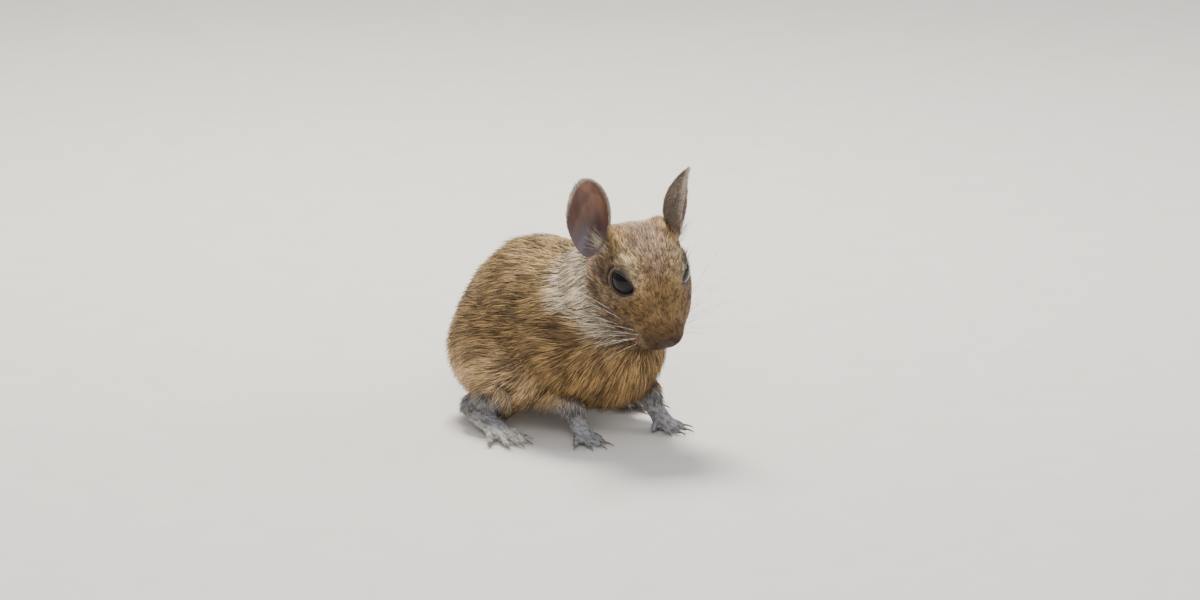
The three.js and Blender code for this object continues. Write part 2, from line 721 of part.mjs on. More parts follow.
torso = cut(torso, ...torsoPockets);
addPart('torso', torso, COLOURS.coat);

// The finished group, moved so that its box stands on the floor around the origin
const degu = new THREE.Group();
for (const part of parts) {
  const material = new THREE.MeshStandardMaterial({
    color: part.colour, roughness: part.roughness, metalness: 0,
  });
  const mesh = new THREE.Mesh(geometryOf(part.solid), material);
  mesh.name = part.name;
  degu.add(mesh);
}
const box = new THREE.Box3().setFromObject(degu);
const middle = box.getCenter(V(0, 0, 0));
degu.position.set(-middle.x, -middle.y, -box.min.z);
degu.updateMatrixWorld(true);

export default degu;
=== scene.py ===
# %% [markdown]
# A degu, life size
# The model is a still degu that crouches with its head hanging. The solids of the frame hold
# its outline out to the tips of the coat. Here it gets one skin, a coat of fine tufts, wet
# eyes, horn claws, whiskers and the black brush of its tail.

# %% Load the frame
import math

import bpy
import numpy as np
from mathutils import Matrix, Vector
from mathutils.kdtree import KDTree


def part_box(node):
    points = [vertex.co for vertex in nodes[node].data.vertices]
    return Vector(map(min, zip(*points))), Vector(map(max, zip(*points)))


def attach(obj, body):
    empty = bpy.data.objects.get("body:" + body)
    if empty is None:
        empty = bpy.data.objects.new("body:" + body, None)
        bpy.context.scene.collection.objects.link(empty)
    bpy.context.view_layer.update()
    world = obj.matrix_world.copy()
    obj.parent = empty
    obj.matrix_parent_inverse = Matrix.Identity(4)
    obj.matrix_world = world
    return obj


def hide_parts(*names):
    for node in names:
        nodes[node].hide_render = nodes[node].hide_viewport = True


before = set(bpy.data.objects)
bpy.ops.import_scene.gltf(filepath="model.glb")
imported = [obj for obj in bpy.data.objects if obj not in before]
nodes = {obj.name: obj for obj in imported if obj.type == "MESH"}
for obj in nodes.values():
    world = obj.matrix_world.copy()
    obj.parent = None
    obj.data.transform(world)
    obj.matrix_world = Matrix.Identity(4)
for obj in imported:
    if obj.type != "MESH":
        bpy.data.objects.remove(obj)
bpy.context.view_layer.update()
MM = 0.001
rng = np.random.default_rng(11)

# %% [markdown]
# Finding the head
# Markings and the lie of the coat follow the head, which is pitched, turned and rolled. Its
# frame starts at the nose: X to its left, Y back along the skull, Z up. The right eye is a
# ball whose place in that frame is known, so the nose's place follows from the eye's box.

# %% The head's frame
HEAD_PITCH, HEAD_TURN, HEAD_ROLL = (math.radians(a) for a in (45, 15, 7))
NOSE_DRAWN = Vector((-1, -25.8, 39.4)) * MM
EYE_IN_HEAD = Vector((8.6, 22.6, 9.8)) * MM
EYE_RADIUS = 5.9 * MM

head_turn = (
    Matrix.Rotation(-HEAD_TURN, 3, "Z")
    @ Matrix.Rotation(HEAD_PITCH, 3, "X")
    @ Matrix.Rotation(-HEAD_ROLL, 3, "Y")
)


def middle(node):
    low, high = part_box(node)
    return (Vector(low) + Vector(high)) / 2


right_eye = Vector((-EYE_IN_HEAD.x, EYE_IN_HEAD.y, EYE_IN_HEAD.z))
nose = middle("eye_right") - head_turn @ right_eye
shift = nose - NOSE_DRAWN
HEAD_AXES = np.array(head_turn)
NOSE = np.array(nose)
SHIFT = np.array(shift)
print("nose", [round(c, 4) for c in nose])


def in_head(points):
    """Points of the frame, as millimetres in the head's own frame."""
    return ((points - NOSE) @ HEAD_AXES) / MM


def from_head(points):
    """Millimetres in the head's own frame, as points of the frame."""
    return NOSE + (np.asarray(points, float) * MM) @ HEAD_AXES.T


def drawn(points):
    """Points of the frame, as millimetres counted from where the body was first drawn."""
    return (points - SHIFT) / MM


# %% [markdown]
# Camera
# The animal was seen from its right front, a little from above, with a long lens. The lens and
# the distance together give the size in the picture, so no shift is needed. The aim is a point
# inside the chest, counted along the picture's own right, up and back.

# %% Camera
VIEW_TURN, VIEW_RISE = math.radians(-42), math.radians(14)
PICTURE_WIDTH = 1200
PIXELS_PER_METRE = 2800
LENS, SENSOR = 135, 36
back_axis = Vector((
    math.sin(VIEW_TURN) * math.cos(VIEW_RISE),
    -math.cos(VIEW_TURN) * math.cos(VIEW_RISE),
    math.sin(VIEW_RISE),
))
right_axis = Vector((math.cos(VIEW_TURN), math.sin(VIEW_TURN), 0))
up_axis = back_axis.cross(right_axis)
AIM_RIGHT, AIM_UP, AIM_BACK = -6.5, 48.8, -5
aim = shift + (AIM_RIGHT * right_axis + AIM_UP * up_axis + AIM_BACK * back_axis) * MM
distance = PICTURE_WIDTH / PIXELS_PER_METRE * LENS / SENSOR
camera = bpy.data.objects.new("camera", bpy.data.cameras.new("camera"))
bpy.context.collection.objects.link(camera)
camera.data.lens = LENS
camera.data.sensor_width = SENSOR
camera.location = aim + back_axis * distance
camera.rotation_euler = back_axis.to_track_quat("Z", "Y").to_euler()
bpy.context.scene.camera = camera
print("camera distance", round(distance, 3))

# %% [markdown]
# Light
# A soft lamp above and behind gives the back and crown their pale edge. A wider one in front
# fills the face, a weak one lights the left side, and the world adds an even pale sky.

# %% Light
SKY = (0.93, 0.95, 1, 1)
SKY_STRENGTH = 0.55
LIT_PLACE = Vector((0, 0, 0.04))
world = bpy.data.worlds.new("studio")
bpy.context.scene.world = world
world.use_nodes = True
world.node_tree.nodes["Background"].inputs["Color"].default_value = SKY
world.node_tree.nodes["Background"].inputs["Strength"].default_value = SKY_STRENGTH


def soft_light(name, place, size, watts, colour):
    light = bpy.data.lights.new(name, "AREA")
    light.size = size
    light.energy = watts
    light.color = colour
    lamp = bpy.data.objects.new(name, light)
    bpy.context.collection.objects.link(lamp)
    lamp.location = Vector(place)
    towards = LIT_PLACE - lamp.location
    lamp.rotation_euler = towards.to_track_quat("-Z", "Y").to_euler()


soft_light("key", (0.2, 0.4, 0.9), 0.3, 19, (1, 0.95, 0.86))
soft_light("front", (-0.75, -0.75, 0.6), 0.6, 8, (1, 0.98, 0.95))
soft_light("side", (0.8, -0.5, 0.4), 0.5, 4, (0.95, 0.97, 1))
print("lamps", len(bpy.data.lights))


# %% [markdown]
# Shader maths as Python
# A finish is easier to read as a formula than as a web of nodes. One small class wraps a
# socket, so that an expression on values adds its Math nodes.

# %% Value
class Value:
    """A number that changes over the surface: sums and products of it add Math nodes."""

    def __init__(self, finish, socket):
        self.finish = finish
        self.socket = socket

    def _math(self, operation, first, second):
        return self.finish.node("ShaderNodeMath", {"operation": operation}, {0: first, 1: second})

    def __add__(self, other):
        return self._math("ADD", self, other)

    def __radd__(self, other):
        return self._math("ADD", other, self)

    def __sub__(self, other):
        return self._math("SUBTRACT", self, other)

    def __rsub__(self, other):
        return self._math("SUBTRACT", other, self)

    def __mul__(self, other):
        return self._math("MULTIPLY", self, other)

    def __rmul__(self, other):
        return self._math("MULTIPLY", other, self)

    def step(self, low, high):
        """0 below low, 1 above high, smooth between them."""
        inputs = {"Value": self, "From Min": low, "From Max": high}
        return self.finish.node("ShaderNodeMapRange", {"interpolation_type": "SMOOTHSTEP"}, inputs)


# %% [markdown]
# Finishes
# Each stuff on the animal, such as horn or wet eye, is one material. A small class makes it,
# and every node in it comes from one method, which takes the node's type, its settings and
# its inputs.

# %% Finish
class Finish:
    """A material with one Principled shader."""

    def __init__(self, name, **shader):
        self.material = bpy.data.materials.new(name)
        self.material.use_nodes = True
        self.tree = self.material.node_tree
        self.shader = self.tree.nodes["Principled BSDF"]
        self.set(self.shader, {key.replace("_", " ").title(): v for key, v in shader.items()})

    def set(self, node, inputs):
        for key, value in inputs.items():
            socket = node.inputs[key]
            if isinstance(value, Value):
                self.tree.links.new(value.socket, socket)
            else:
                socket.default_value = value

    def node(self, kind, settings=None, inputs=None, output=0):
        node = self.tree.nodes.new(kind)
        for key, value in (settings or {}).items():
            setattr(node, key, value)
        self.set(node, inputs or {})
        return Value(self, node.outputs[output])

    def attribute(self, name, output="Color"):
        return self.node("ShaderNodeAttribute", {"attribute_name": name}, output=output)

    def part(self, colour, channel):
        return self.node("ShaderNodeSeparateColor", inputs={"Color": colour}, output=channel)

    def noise(self, scale, detail=3, stretch=(1, 1, 1)):
        place = self.node("ShaderNodeTexCoord", output="Object")
        place = self.node("ShaderNodeMapping", inputs={"Vector": place, "Scale": stretch})
        return self.node("ShaderNodeTexNoise", inputs={"Vector": place, "Scale": scale, "Detail": detail})

    def mix(self, factor, first, second, blend="MIX"):
        node = self.tree.nodes.new("ShaderNodeMix")
        node.data_type = "RGBA"
        node.blend_type = blend
        for index, value in ((0, factor), (6, first), (7, second)):
            if isinstance(value, Value):
                self.tree.links.new(value.socket, node.inputs[index])
            else:
                node.inputs[index].default_value = value
        return Value(self, node.outputs[2])

    def bump(self, height, distance, strength=1.0):
        inputs = {"Height": height, "Distance": distance, "Strength": strength}
        self.set(self.shader, {"Normal": self.node("ShaderNodeBump", inputs=inputs)})

    def colour(self, value):
        self.set(self.shader, {"Base Color": value})


def rgb(red, green, blue):
    """A colour as it shows on a screen, 0 to 255, in the linear values of a shader."""
    return tuple((c / 255) ** 2.2 for c in (red, green, blue)) + (1.0,)


print("a grey of 128 on the screen is", round(rgb(128, 128, 128)[0], 3))


# %% [markdown]
# The floor
# The animal rests on a plain pale floor, which is not part of it. A big plane with a faint
# grain is enough.

# %% Floor
bpy.ops.object.select_all(action="DESELECT")
bpy.ops.mesh.primitive_plane_add(size=6, location=(0, 0, -0.0002))
floor = bpy.context.active_object
floor.name = "floor"
floor_finish = Finish("pale_floor", roughness=0.75)
floor_grain = floor_finish.noise(60, 4)
floor_finish.colour(floor_finish.mix(floor_grain, rgb(214, 210, 204), rgb(224, 221, 216)))
floor.data.materials.append(floor_finish.material)
print("floor", [round(side, 2) for side in floor.dimensions])

# %% [markdown]
# Working on meshes
# A few short helpers do what is needed again and again: a clean copy of some nodes, a modifier
# that is applied at once, and the points and triangles of a mesh as arrays.

# %% Helpers for meshes
def copy_of(node_names, name):
    """Copies of nodes, with their doubles merged, joined into one object."""
    bpy.ops.object.select_all(action="DESELECT")
    for node in node_names:
        piece = bpy.data.objects.new(name, nodes[node].data.copy())
        piece.data.materials.clear()
        bpy.context.collection.objects.link(piece)
        piece.select_set(True)
        bpy.context.view_layer.objects.active = piece
    if len(node_names) > 1:
        bpy.ops.object.join()
    piece = bpy.context.active_object
    piece.name = name
    bpy.ops.object.mode_set(mode="EDIT")
    bpy.ops.mesh.select_all(action="SELECT")
    bpy.ops.mesh.remove_doubles(threshold=0.002 * MM)
    bpy.ops.mesh.normals_make_consistent(inside=False)
    bpy.ops.object.mode_set(mode="OBJECT")
    return piece


def apply_modifier(piece, kind, **settings):
    modifier = piece.modifiers.new(kind.lower(), kind)
    for key, value in settings.items():
        setattr(modifier, key, value)
    bpy.context.view_layer.objects.active = piece
    bpy.ops.object.modifier_apply(modifier=modifier.name)


def read_points(mesh, what="co"):
    """Places of a mesh's points as rows of an array, or their normals."""
    values = np.empty(len(mesh.vertices) * 3)
    source = mesh.vertices if what == "co" else mesh.vertex_normals
    source.foreach_get("co" if what == "co" else "vector", values)
    return values.reshape(-1, 3)


def write_points(mesh, points):
    mesh.vertices.foreach_set("co", np.ascontiguousarray(points).ravel())
    mesh.update()


def triangles_of(mesh):
    """Numbers of the three corners of each triangle."""
    mesh.calc_loop_triangles()
    corners = np.empty(len(mesh.loop_triangles) * 3, int)
    mesh.loop_triangles.foreach_get("vertices", corners)
    return corners.reshape(-1, 3)


def area_of(corners):
    """Area of each triangle, from the places of its corners."""
    sides = corners[:, 1:] - corners[:, :1]
    return 0.5 * np.linalg.norm(np.cross(sides[:, 0], sides[:, 1]), axis=1)


def unit(directions):
    return directions / np.maximum(np.linalg.norm(directions, axis=-1, keepdims=True), 1e-12)


print("area of the head, cm2", round(
    float(area_of(read_points(nodes["head"].data)[triangles_of(nodes["head"].data)]).sum() * 1e4), 1))

# %% [markdown]
# One skin
# Flesh has no seams, so the nodes of flesh are copied, swollen a little until they meet, and
# made one surface by a voxel remesh. That keeps the pose and outline of the solids. The eyes
# and claws stay out of it, as they are other stuff.

# %% Join the flesh into one skin
FLESH = ["torso", "neck", "head", "tail_base", "tail_middle"]
for side in ("right", "left"):
    FLESH += [f"{part}_{side}" for part in ("thigh", "upper_arm", "shank", "foot", "forearm", "hand")]
SWELL = 0.26 * MM
VOXEL = 0.64 * MM

skin = copy_of(FLESH, "skin")
apply_modifier(skin, "DISPLACE", strength=SWELL, mid_level=0)

# The brush is all hair, so the skin under it is only the thin end of the tail
TAIL_END = np.array([
    (32, 100.2, 3.9), (37, 101, 3.8), (46, 101, 3.8), (56.5, 96.5, 3.8), (60, 93, 3.8), (63.5, 88, 3.8)])
TAIL_END_RADIUS = [3.0, 2.9, 2.3, 1.7, 1.4, 0.9]
tail_end = TAIL_END * MM + SHIFT
tail_bits = [skin]
stretches = zip(tail_end[:-1], tail_end[1:], TAIL_END_RADIUS[:-1], TAIL_END_RADIUS[1:])
for start, end, wide, thin in stretches:
    run = Vector(end - start)
    bpy.ops.object.select_all(action="DESELECT")
    bpy.ops.mesh.primitive_cone_add(
        vertices=16, radius1=wide * MM, radius2=thin * MM, depth=run.length * 1.1,
        location=Vector((start + end) / 2), rotation=run.to_track_quat("Z", "Y").to_euler())
    tail_bits.append(bpy.context.active_object)
for bit in tail_bits:
    bit.select_set(True)
bpy.context.view_layer.objects.active = skin
bpy.ops.object.join()
apply_modifier(skin, "REMESH", mode="VOXEL", voxel_size=VOXEL)
print("skin points", len(skin.data.vertices))


# %% [markdown]
# Knowing the parts of the skin
# The coat is long on the back and tiny on the feet, so each point of the skin needs to know
# its part. The nearest solid gives it, and smoothing over the surface makes the change from
# one part to the next gradual.

# %% Parts of the skin
PARTS = ["torso", "neck", "head", "ear", "limb", "foot", "tail", "brush"]
TORSO, NECK, HEAD, EAR, LIMB, FOOT, TAIL, TAIL_BRUSH = range(len(PARTS))
BRUSH = ["tail_brush"]
PART_ROUNDS, PART_SHARE = 14, 0.5
PART_OF = {
    "torso": TORSO, "thigh": TORSO, "upper_arm": TORSO, "neck": NECK, "head": HEAD,
    "forearm": LIMB, "shank": LIMB, "hand": FOOT, "foot": FOOT,
    "tail_base": TAIL, "tail_middle": TAIL, "tail_brush": TAIL_BRUSH}


def part_index(node):
    return next(index for name, index in PART_OF.items() if node.startswith(name))


marks = []
for node in FLESH + BRUSH:
    mesh = nodes[node].data
    corners = read_points(mesh)
    centres = corners[triangles_of(mesh)].mean(axis=1)
    marks += [(point, part_index(node)) for point in np.vstack([corners, centres])]
tree = KDTree(len(marks))
for order, (point, _) in enumerate(marks):
    tree.insert(point, order)
tree.balance()
part_of_mark = np.array([index for _, index in marks])
points = read_points(skin.data)
nearest = np.array([tree.find(point)[1] for point in points])
weights = np.eye(len(PARTS))[part_of_mark[nearest]]

edges = np.empty(len(skin.data.edges) * 2, int)
skin.data.edges.foreach_get("vertices", edges)
edges = edges.reshape(-1, 2)
ends = np.concatenate([edges[:, 0], edges[:, 1]])
others = np.concatenate([edges[:, 1], edges[:, 0]])
valence = np.maximum(np.bincount(ends, minlength=len(points)), 1)


def relax(values, rounds, share):
    """Each value moves towards the mean of its neighbours, by its own share."""
    columns = range(values.shape[1])
    for _ in range(rounds):
        sums = [np.bincount(ends, values[others, k], len(values)) for k in columns]
        mean = np.stack([column / valence for column in sums], axis=1)
        values = values + (mean - values) * share
    return values


weights = relax(weights, PART_ROUNDS, PART_SHARE)
weights /= weights.sum(axis=1, keepdims=True)
print("parts", dict(zip(PARTS, weights.sum(axis=0).astype(int).tolist())))

# %% [markdown]
# Smoothing and depth
# The solids are faceted, so the body is relaxed until the facets are gone, the head less and
# the feet least. Then the skin sinks by the depth of the coat that will stand on it.

# %% Smooth the skin and sink it under the coat
SKIN_ROUNDS = 26
LID_REACH, LID_BLEND = 0.5, 2.5
#              torso neck head  ear  limb  foot  tail brush
RELAX_SHARE = [0.5, 0.5, 0.26, 0.12, 0.26, 0.05, 0.3, 0.3]
COAT_DEPTH = [2.4, 2.0, 1.25, 0.4, 0.9, 0.12, 0.8, 0.1]
eye_places = {s: np.array(middle(f"eye_{s}")) for s in ("left", "right")}


def from_eyes(places):
    """Distance to the surface of the nearer eyeball, in millimetres."""
    return (np.min([np.linalg.norm(places - eye, axis=1) for eye in eye_places.values()], axis=0)
            - EYE_RADIUS) / MM


def near_eye(places):
    """1 on the lids, 0 from a few millimetres off the eyeball."""
    return np.clip(1 - (from_eyes(places) - LID_REACH) / LID_BLEND, 0, 1)


share = (weights @ np.array(RELAX_SHARE)) * (1 - 0.5 * near_eye(points))
points = relax(points, SKIN_ROUNDS, share[:, None])
write_points(skin.data, points)
normals = read_points(skin.data, "normal")
local = in_head(points)
muzzle = np.clip(1 - local[:, 1] / 16, 0, 1) * weights[:, HEAD]
depth = weights @ np.array(COAT_DEPTH) * (1 - 0.55 * muzzle) * (1 - 0.85 * near_eye(points))
points = points - normals * (depth * MM)[:, None]
write_points(skin.data, points)
print("mean depth of the coat, mm", round(float(depth.mean()), 2))

# %% [markdown]
# The face
# The muzzle ends in a bare nose with two slanting nostrils, a cleft below it, and the line of
# the mouth. They are pressed into the skin by smooth dents, each a bell curve around a line.

# %% Press nostrils, cleft and mouth into the skin
def bell(distance, width):
    return np.exp(-((distance / width) ** 2))


def distance_to_path(places, path):
    """Distance of each place to a line of straight stretches."""
    least = np.full(len(places), 1e9)
    for start, end in zip(path[:-1], path[1:]):
        start, end = np.array(start, float), np.array(end, float)
        along = np.clip(((places - start) @ (end - start)) / ((end - start) @ (end - start)), 0, 1)
        least = np.minimum(least, np.linalg.norm(places - start - along[:, None] * (end - start), axis=1))
    return least


local = in_head(points)
folded = np.stack([np.abs(local[:, 0]), local[:, 1], local[:, 2]], axis=1)
NOSTRIL = [(1.0, 0.6, -0.3), (2.0, 0.9, 0.1), (2.6, 1.9, 0.6)]
CLEFT = [(0, 1.0, -1.5), (0, 2.6, -3.4)]
MOUTH = [(0, 2.9, -3.6), (2.4, 3.6, -5.0), (4.6, 6.6, -5.8), (6.2, 10.2, -5.4)]
dent = 1.6 * bell(distance_to_path(folded, NOSTRIL), 0.8)
dent += 0.5 * bell(distance_to_path(folded, CLEFT), 0.6)
dent += 0.8 * bell(distance_to_path(folded, MOUTH), 0.6)
in_front = weights[:, HEAD] > 0.5
normals = read_points(skin.data, "normal")
points = points - normals * (dent * in_front * MM)[:, None]
write_points(skin.data, points)
for polygon in skin.data.polygons:
    polygon.use_smooth = True
skin.data.update()
print("deepest dent, mm", round(float(dent.max()), 2))


# %% [markdown]
# Markings
# The coat is agouti: each hair is banded, and the whole reads as yellow-brown with dark
# flecks. The crown is purplish brown, the snout and brow golden, the cheek grey-brown with
# a pale collar behind it, the chest ochre, and the lower legs blue-grey. One function gives
# this colour at any point, for the skin and for the coat alike, so that both agree. First come
# the colours, as they show on a screen in even light.

# %% Colours of the coat
BACK = rgb(166, 142, 104)
FLANK = rgb(146, 122, 88)
RUMP = rgb(160, 132, 90)
CHEST = rgb(170, 140, 99)
BELLY = rgb(188, 160, 120)
BAND = rgb(212, 182, 142)
MUZZLE = rgb(92, 70, 50)
COLLAR = rgb(226, 214, 192)
CROWN = rgb(132, 110, 92)
SNOUT = rgb(138, 112, 78)
CHEEK = rgb(134, 112, 90)
BROW = rgb(184, 152, 98)
CREAM = rgb(226, 204, 160)
NOSE_SKIN = rgb(48, 33, 29)
EAR_OUTSIDE = rgb(118, 104, 92)
EAR_INSIDE = rgb(118, 84, 68)
LEG_GREY = rgb(140, 142, 148)
TOE_PALE = rgb(212, 208, 202)
TAIL_TOP = rgb(116, 98, 74)
BRUSH_BLACK = rgb(34, 28, 25)
print("back in linear light", [round(c, 3) for c in BACK[:3]])


# %% [markdown]
# Painting a marking
# Each marking is a colour and a share that fades out softly, as pale and dark hairs mix in a
# real coat. Slow waves over space keep the edges from being straight.

# %% Waves, fades and paint
def waves(places, size, seed):
    """A smooth wandering value over space, about -1 to 1."""
    turns = np.random.default_rng(seed).normal(size=(4, 3)) / (size * MM)
    starts = np.random.default_rng(seed + 1).uniform(0, 6.28, 4)
    return np.sin(places @ turns.T + starts).sum(axis=1) / 2.2


def fade(values, low, high):
    """0 at low, 1 at high, smooth between them."""
    t = np.clip((values - low) / (high - low), 0, 1)
    return t * t * (3 - 2 * t)


def paint(colours, colour, share):
    share = np.clip(share, 0, 1)[:, None]
    colours[:] = colours * (1 - share) + np.array(colour[:3]) * share


# %% [markdown]
# The trunk's markings
# The back is yellow-brown, the rump warmer, and a pale band runs along the flank above the
# creamy belly. Heights and lengths are those of the body as it was first drawn.

# %% Markings of the trunk
def paint_trunk(colours, body, facing, wander):
    paint(colours, BACK, fade(body[:, 2], 42, 62))
    paint(colours, RUMP, fade(body[:, 1], 50, 72) * 0.8)
    lower = body[:, 2] - 0.15 * (body[:, 1] - 30) + 2.5 * wander
    paint(colours, BAND, bell(lower - 21, 6) * fade(body[:, 1], 8, 22) * 0.85)
    paint(colours, BELLY, fade(-body[:, 2], -20, -8) * fade(-facing[:, 2], -0.3, 0.5))
    paint(colours, CHEST, fade(-body[:, 1], -18, 2) * fade(-body[:, 2], -44, -30) * 0.9)


# %% [markdown]
# The head's markings
# The marks round eye, brow, muzzle and nose are soft ellipsoids in the head's own frame, folded
# so that both cheeks get the same ones. The collar lies just behind the head.

# %% Markings of the head
def paint_head(colours, head, share, wander):
    wide = np.abs(head[:, 0])
    folded_head = np.stack([wide, head[:, 1], head[:, 2]], axis=1)

    def spot(centre, radii):
        return np.linalg.norm((folded_head - centre) / radii, axis=1)

    paint(colours, CHEEK, share)
    paint(colours, CROWN, share * fade(head[:, 2], 7, 12) * fade(-wide, -11, -7))
    bridge = fade(-head[:, 1], -20, -11) * fade(head[:, 2] - 0.3 * wide, -3, 2)
    paint(colours, SNOUT, share * bridge)
    paint(colours, COLLAR, share * fade(head[:, 1], 36, 42) * fade(-wide, -7, -3) * 0.6)
    paint(colours, BROW, share * bell(spot([9.5, 37, 13], [5, 7, 7]), 0.9) * 0.9)
    paint(colours, EAR_OUTSIDE, share * bell(spot([14, 31, 6], [4, 5, 5]), 0.9) * 0.7)
    paint(colours, BROW, share * bell(spot([5.4, 20, 13], [3.4, 7, 4]), 0.9) * 0.8)
    behind_cheek = fade(-spot([0, 28, -3], [20.5, 17, 17]) + 0.05 * wander, -1.4, -1.14)
    collar = behind_cheek * fade(wide, 6, 13) * fade(-head[:, 2], -12, -2)
    paint(colours, COLLAR, collar * (1 - share) * 0.7)
    side_of_neck = fade(head[:, 1], 30, 38) * fade(wide, 10, 16) * fade(-head[:, 2], -3, 4)
    paint(colours, COLLAR, share * side_of_neck * 0.8)
    paint(colours, CHEST, share * fade(-head[:, 2], 8, 14) * 0.7)
    paint(colours, CREAM, share * bell(spot([9.4, 24, 15.4], [3.6, 5.6, 2.4]), 0.9) * 0.9)
    paint(colours, CREAM, share * bell(spot([13, 22.6, 3.4], [3.4, 5, 2.2]), 0.9) * 0.5)
    paint(colours, MUZZLE, share * fade(-spot([0, 2.6, 0.4], [4.6, 4.6, 3.6]), -2.0, -1.2) * 0.8)
    paint(colours, NOSE_SKIN, share * fade(-spot([0, 1.6, 0], [4.4, 3.6, 3.1]), -1.3, -0.8))
    paint(colours, NOSE_SKIN, share * bell(spot([3.8, 4.4, 0.6], [2.6, 3, 2]), 0.8) * 0.45)


# %% [markdown]
# All markings together
# Ears, legs and tail are painted by their part of the body, over the trunk and the head. A last
# slow waver in brightness keeps any patch from looking flat. Then the skin gets its colours.

# %% Colour of the coat at any point
def paint_limbs(colours, body, part_weights):
    paint(colours, EAR_OUTSIDE, part_weights[:, EAR])
    paint(colours, LEG_GREY, part_weights[:, LIMB] * fade(-body[:, 2], -21, -12))
    paint(colours, LEG_GREY, part_weights[:, FOOT])
    hind_toes = fade(-body[:, 2], -6, -3.5) * fade(body[:, 0] ** 2, 600, 760)
    paint(colours, TOE_PALE, part_weights[:, FOOT] * hind_toes * 0.85)
    paint(colours, TAIL_TOP, part_weights[:, TAIL])
    paint(colours, BRUSH_BLACK, part_weights[:, TAIL_BRUSH])


def coat_colours(places, facing, part_weights):
    """Base colours of the coat at places with their normals and shares of the body's parts."""
    body = drawn(places)
    wander = waves(places, 6, 31)
    colours = np.tile(np.array(FLANK[:3]), (len(places), 1))
    paint_trunk(colours, body, facing, wander)
    paint_head(colours, in_head(places), part_weights[:, HEAD], wander)
    paint_limbs(colours, body, part_weights)
    shade = np.clip(1 + 0.1 * waves(places, 3.5, 41) + 0.08 * wander, 0.75, 1.25)
    return colours * shade[:, None]


def write_colours(mesh, name, values):
    attribute = mesh.attributes.new(name, "FLOAT_COLOR", "POINT")
    full = np.ones((len(values), 4))
    full[:, :values.shape[1]] = values
    attribute.data.foreach_set("color", full.ravel())


normals = read_points(skin.data, "normal")
skin_colours = coat_colours(points, normals, weights)
write_colours(skin.data, "coat", skin_colours)

lid = fade(-from_eyes(points), -0.9, -0.3)
# Painted shade in the nostrils and along the crease of the mouth, over the dents pressed there.
nostril_and_mouth_shade = bell(distance_to_path(folded, NOSTRIL), 0.95)
nostril_and_mouth_shade = np.clip(nostril_and_mouth_shade + 0.7 * bell(distance_to_path(folded, MOUTH), 0.6), 0, 1)
write_colours(skin.data, "places", np.stack([lid, nostril_and_mouth_shade * in_front], axis=1))
print("mean colour of the skin", skin_colours.mean(axis=0).round(3).tolist())

# %% [markdown]
# The skin's finish
# Between the tufts the under-coat shows, darker than the tips and finely streaked, partly its
# own colour and partly painted shade of the hairs. The edges of the lids are bare and dark,
# and the nostrils and the line of the mouth get painted shade.

# %% Skin finish
skin_finish = Finish("skin_undercoat_and_hair_shade", roughness=0.72)
base = skin_finish.attribute("coat")
flecks = skin_finish.noise(900, 4, (1, 0.35, 1))
# Painted shade of the hairs: the coat's colour darkened in fine streaks, over the under-coat's own darker
# tone.
under = skin_finish.mix(flecks.step(0.35, 0.7) * 0.6 + 0.2, base, (0.05, 0.035, 0.025, 1), "MIX")
places_colour = skin_finish.attribute("places")
under = skin_finish.mix(skin_finish.part(places_colour, 0), under, rgb(30, 22, 22))
# Painted shade in the nostrils and the mouth's crease, from the second column of places.
under = skin_finish.mix(skin_finish.part(places_colour, 1), under, rgb(24, 16, 15))
skin_finish.colour(under)
skin_finish.set(skin_finish.shader, {"Specular IOR Level": 0.3})
pores = skin_finish.noise(2600, 2)
skin_finish.bump(flecks + pores * 0.4, 0.25 * MM, 0.6)
skin.data.materials.append(skin_finish.material)
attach(skin, "root")
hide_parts(*FLESH, *BRUSH)
print("nodes under the skin", len(FLESH) + len(BRUSH))

# %% [markdown]
# The lie of the coat
# Hair lies back from the nose over the head, back and down over the body, down the legs and
# towards the tips of the toes, the ears and the tail. Each part has its own direction, and the
# shares of the parts mix them.

# %% Direction of the coat at any point
TAIL_LINE = np.array([
    (-0.5, 63, 21), (0.5, 71, 16), (4.5, 79.5, 9.5), (12, 88.5, 5.4), (22, 96, 4.2), (34, 100.5, 3.9),
    (46, 101, 3.8), (56.5, 96.5, 3.8), (63.5, 88, 3.8)])
TAIL_REACH = 8 * MM
tail_line = TAIL_LINE * MM + SHIFT
tail_runs = np.diff(tail_line, axis=0)
tail_middles = (tail_line[1:] + tail_line[:-1]) / 2


def along_tail(places):
    """Direction of the tail near each place, mixed from its nearer stretches."""
    away = np.linalg.norm(places[:, None] - tail_middles[None], axis=2)
    return (bell(away, TAIL_REACH) + 1e-9) @ unit(tail_runs)


def coat_flow(places, part_weights):
    """Direction of the hair at places, from its parts' own directions by their shares."""
    body = drawn(places)
    head = in_head(places)
    sideways = np.sign(body[:, 0])
    one = np.ones(len(places))
    torso = np.stack([0.15 * sideways, one, -0.25 - 0.35 * fade(-body[:, 2], -50, -20)], 1)
    low_front = (fade(-body[:, 1], -12, 4) * fade(-body[:, 2], -42, -30))[:, None]
    torso = torso * (1 - low_front) + np.array([0, 0.35, -1]) * low_front
    neck = np.stack([0.25 * np.sign(head[:, 0]), one, -0.55 * one], 1)
    face = np.stack([head[:, 0] * 0.05, one, (head[:, 2] - 2) * 0.03], 1) @ HEAD_AXES.T
    ear = np.stack([0.2 * np.sign(head[:, 0]), 0.55 * one, 0.8 * one], 1) @ HEAD_AXES.T
    limb = np.stack([0 * one, -0.25 * one, -one], 1)
    foot = np.stack([0.1 * sideways, -one, -0.35 * one], 1)
    tail = along_tail(places)
    kinds = np.stack([torso, neck, face, ear, limb, foot, tail, tail], axis=1)
    return np.einsum("np,npk->nk", part_weights, unit(kinds))


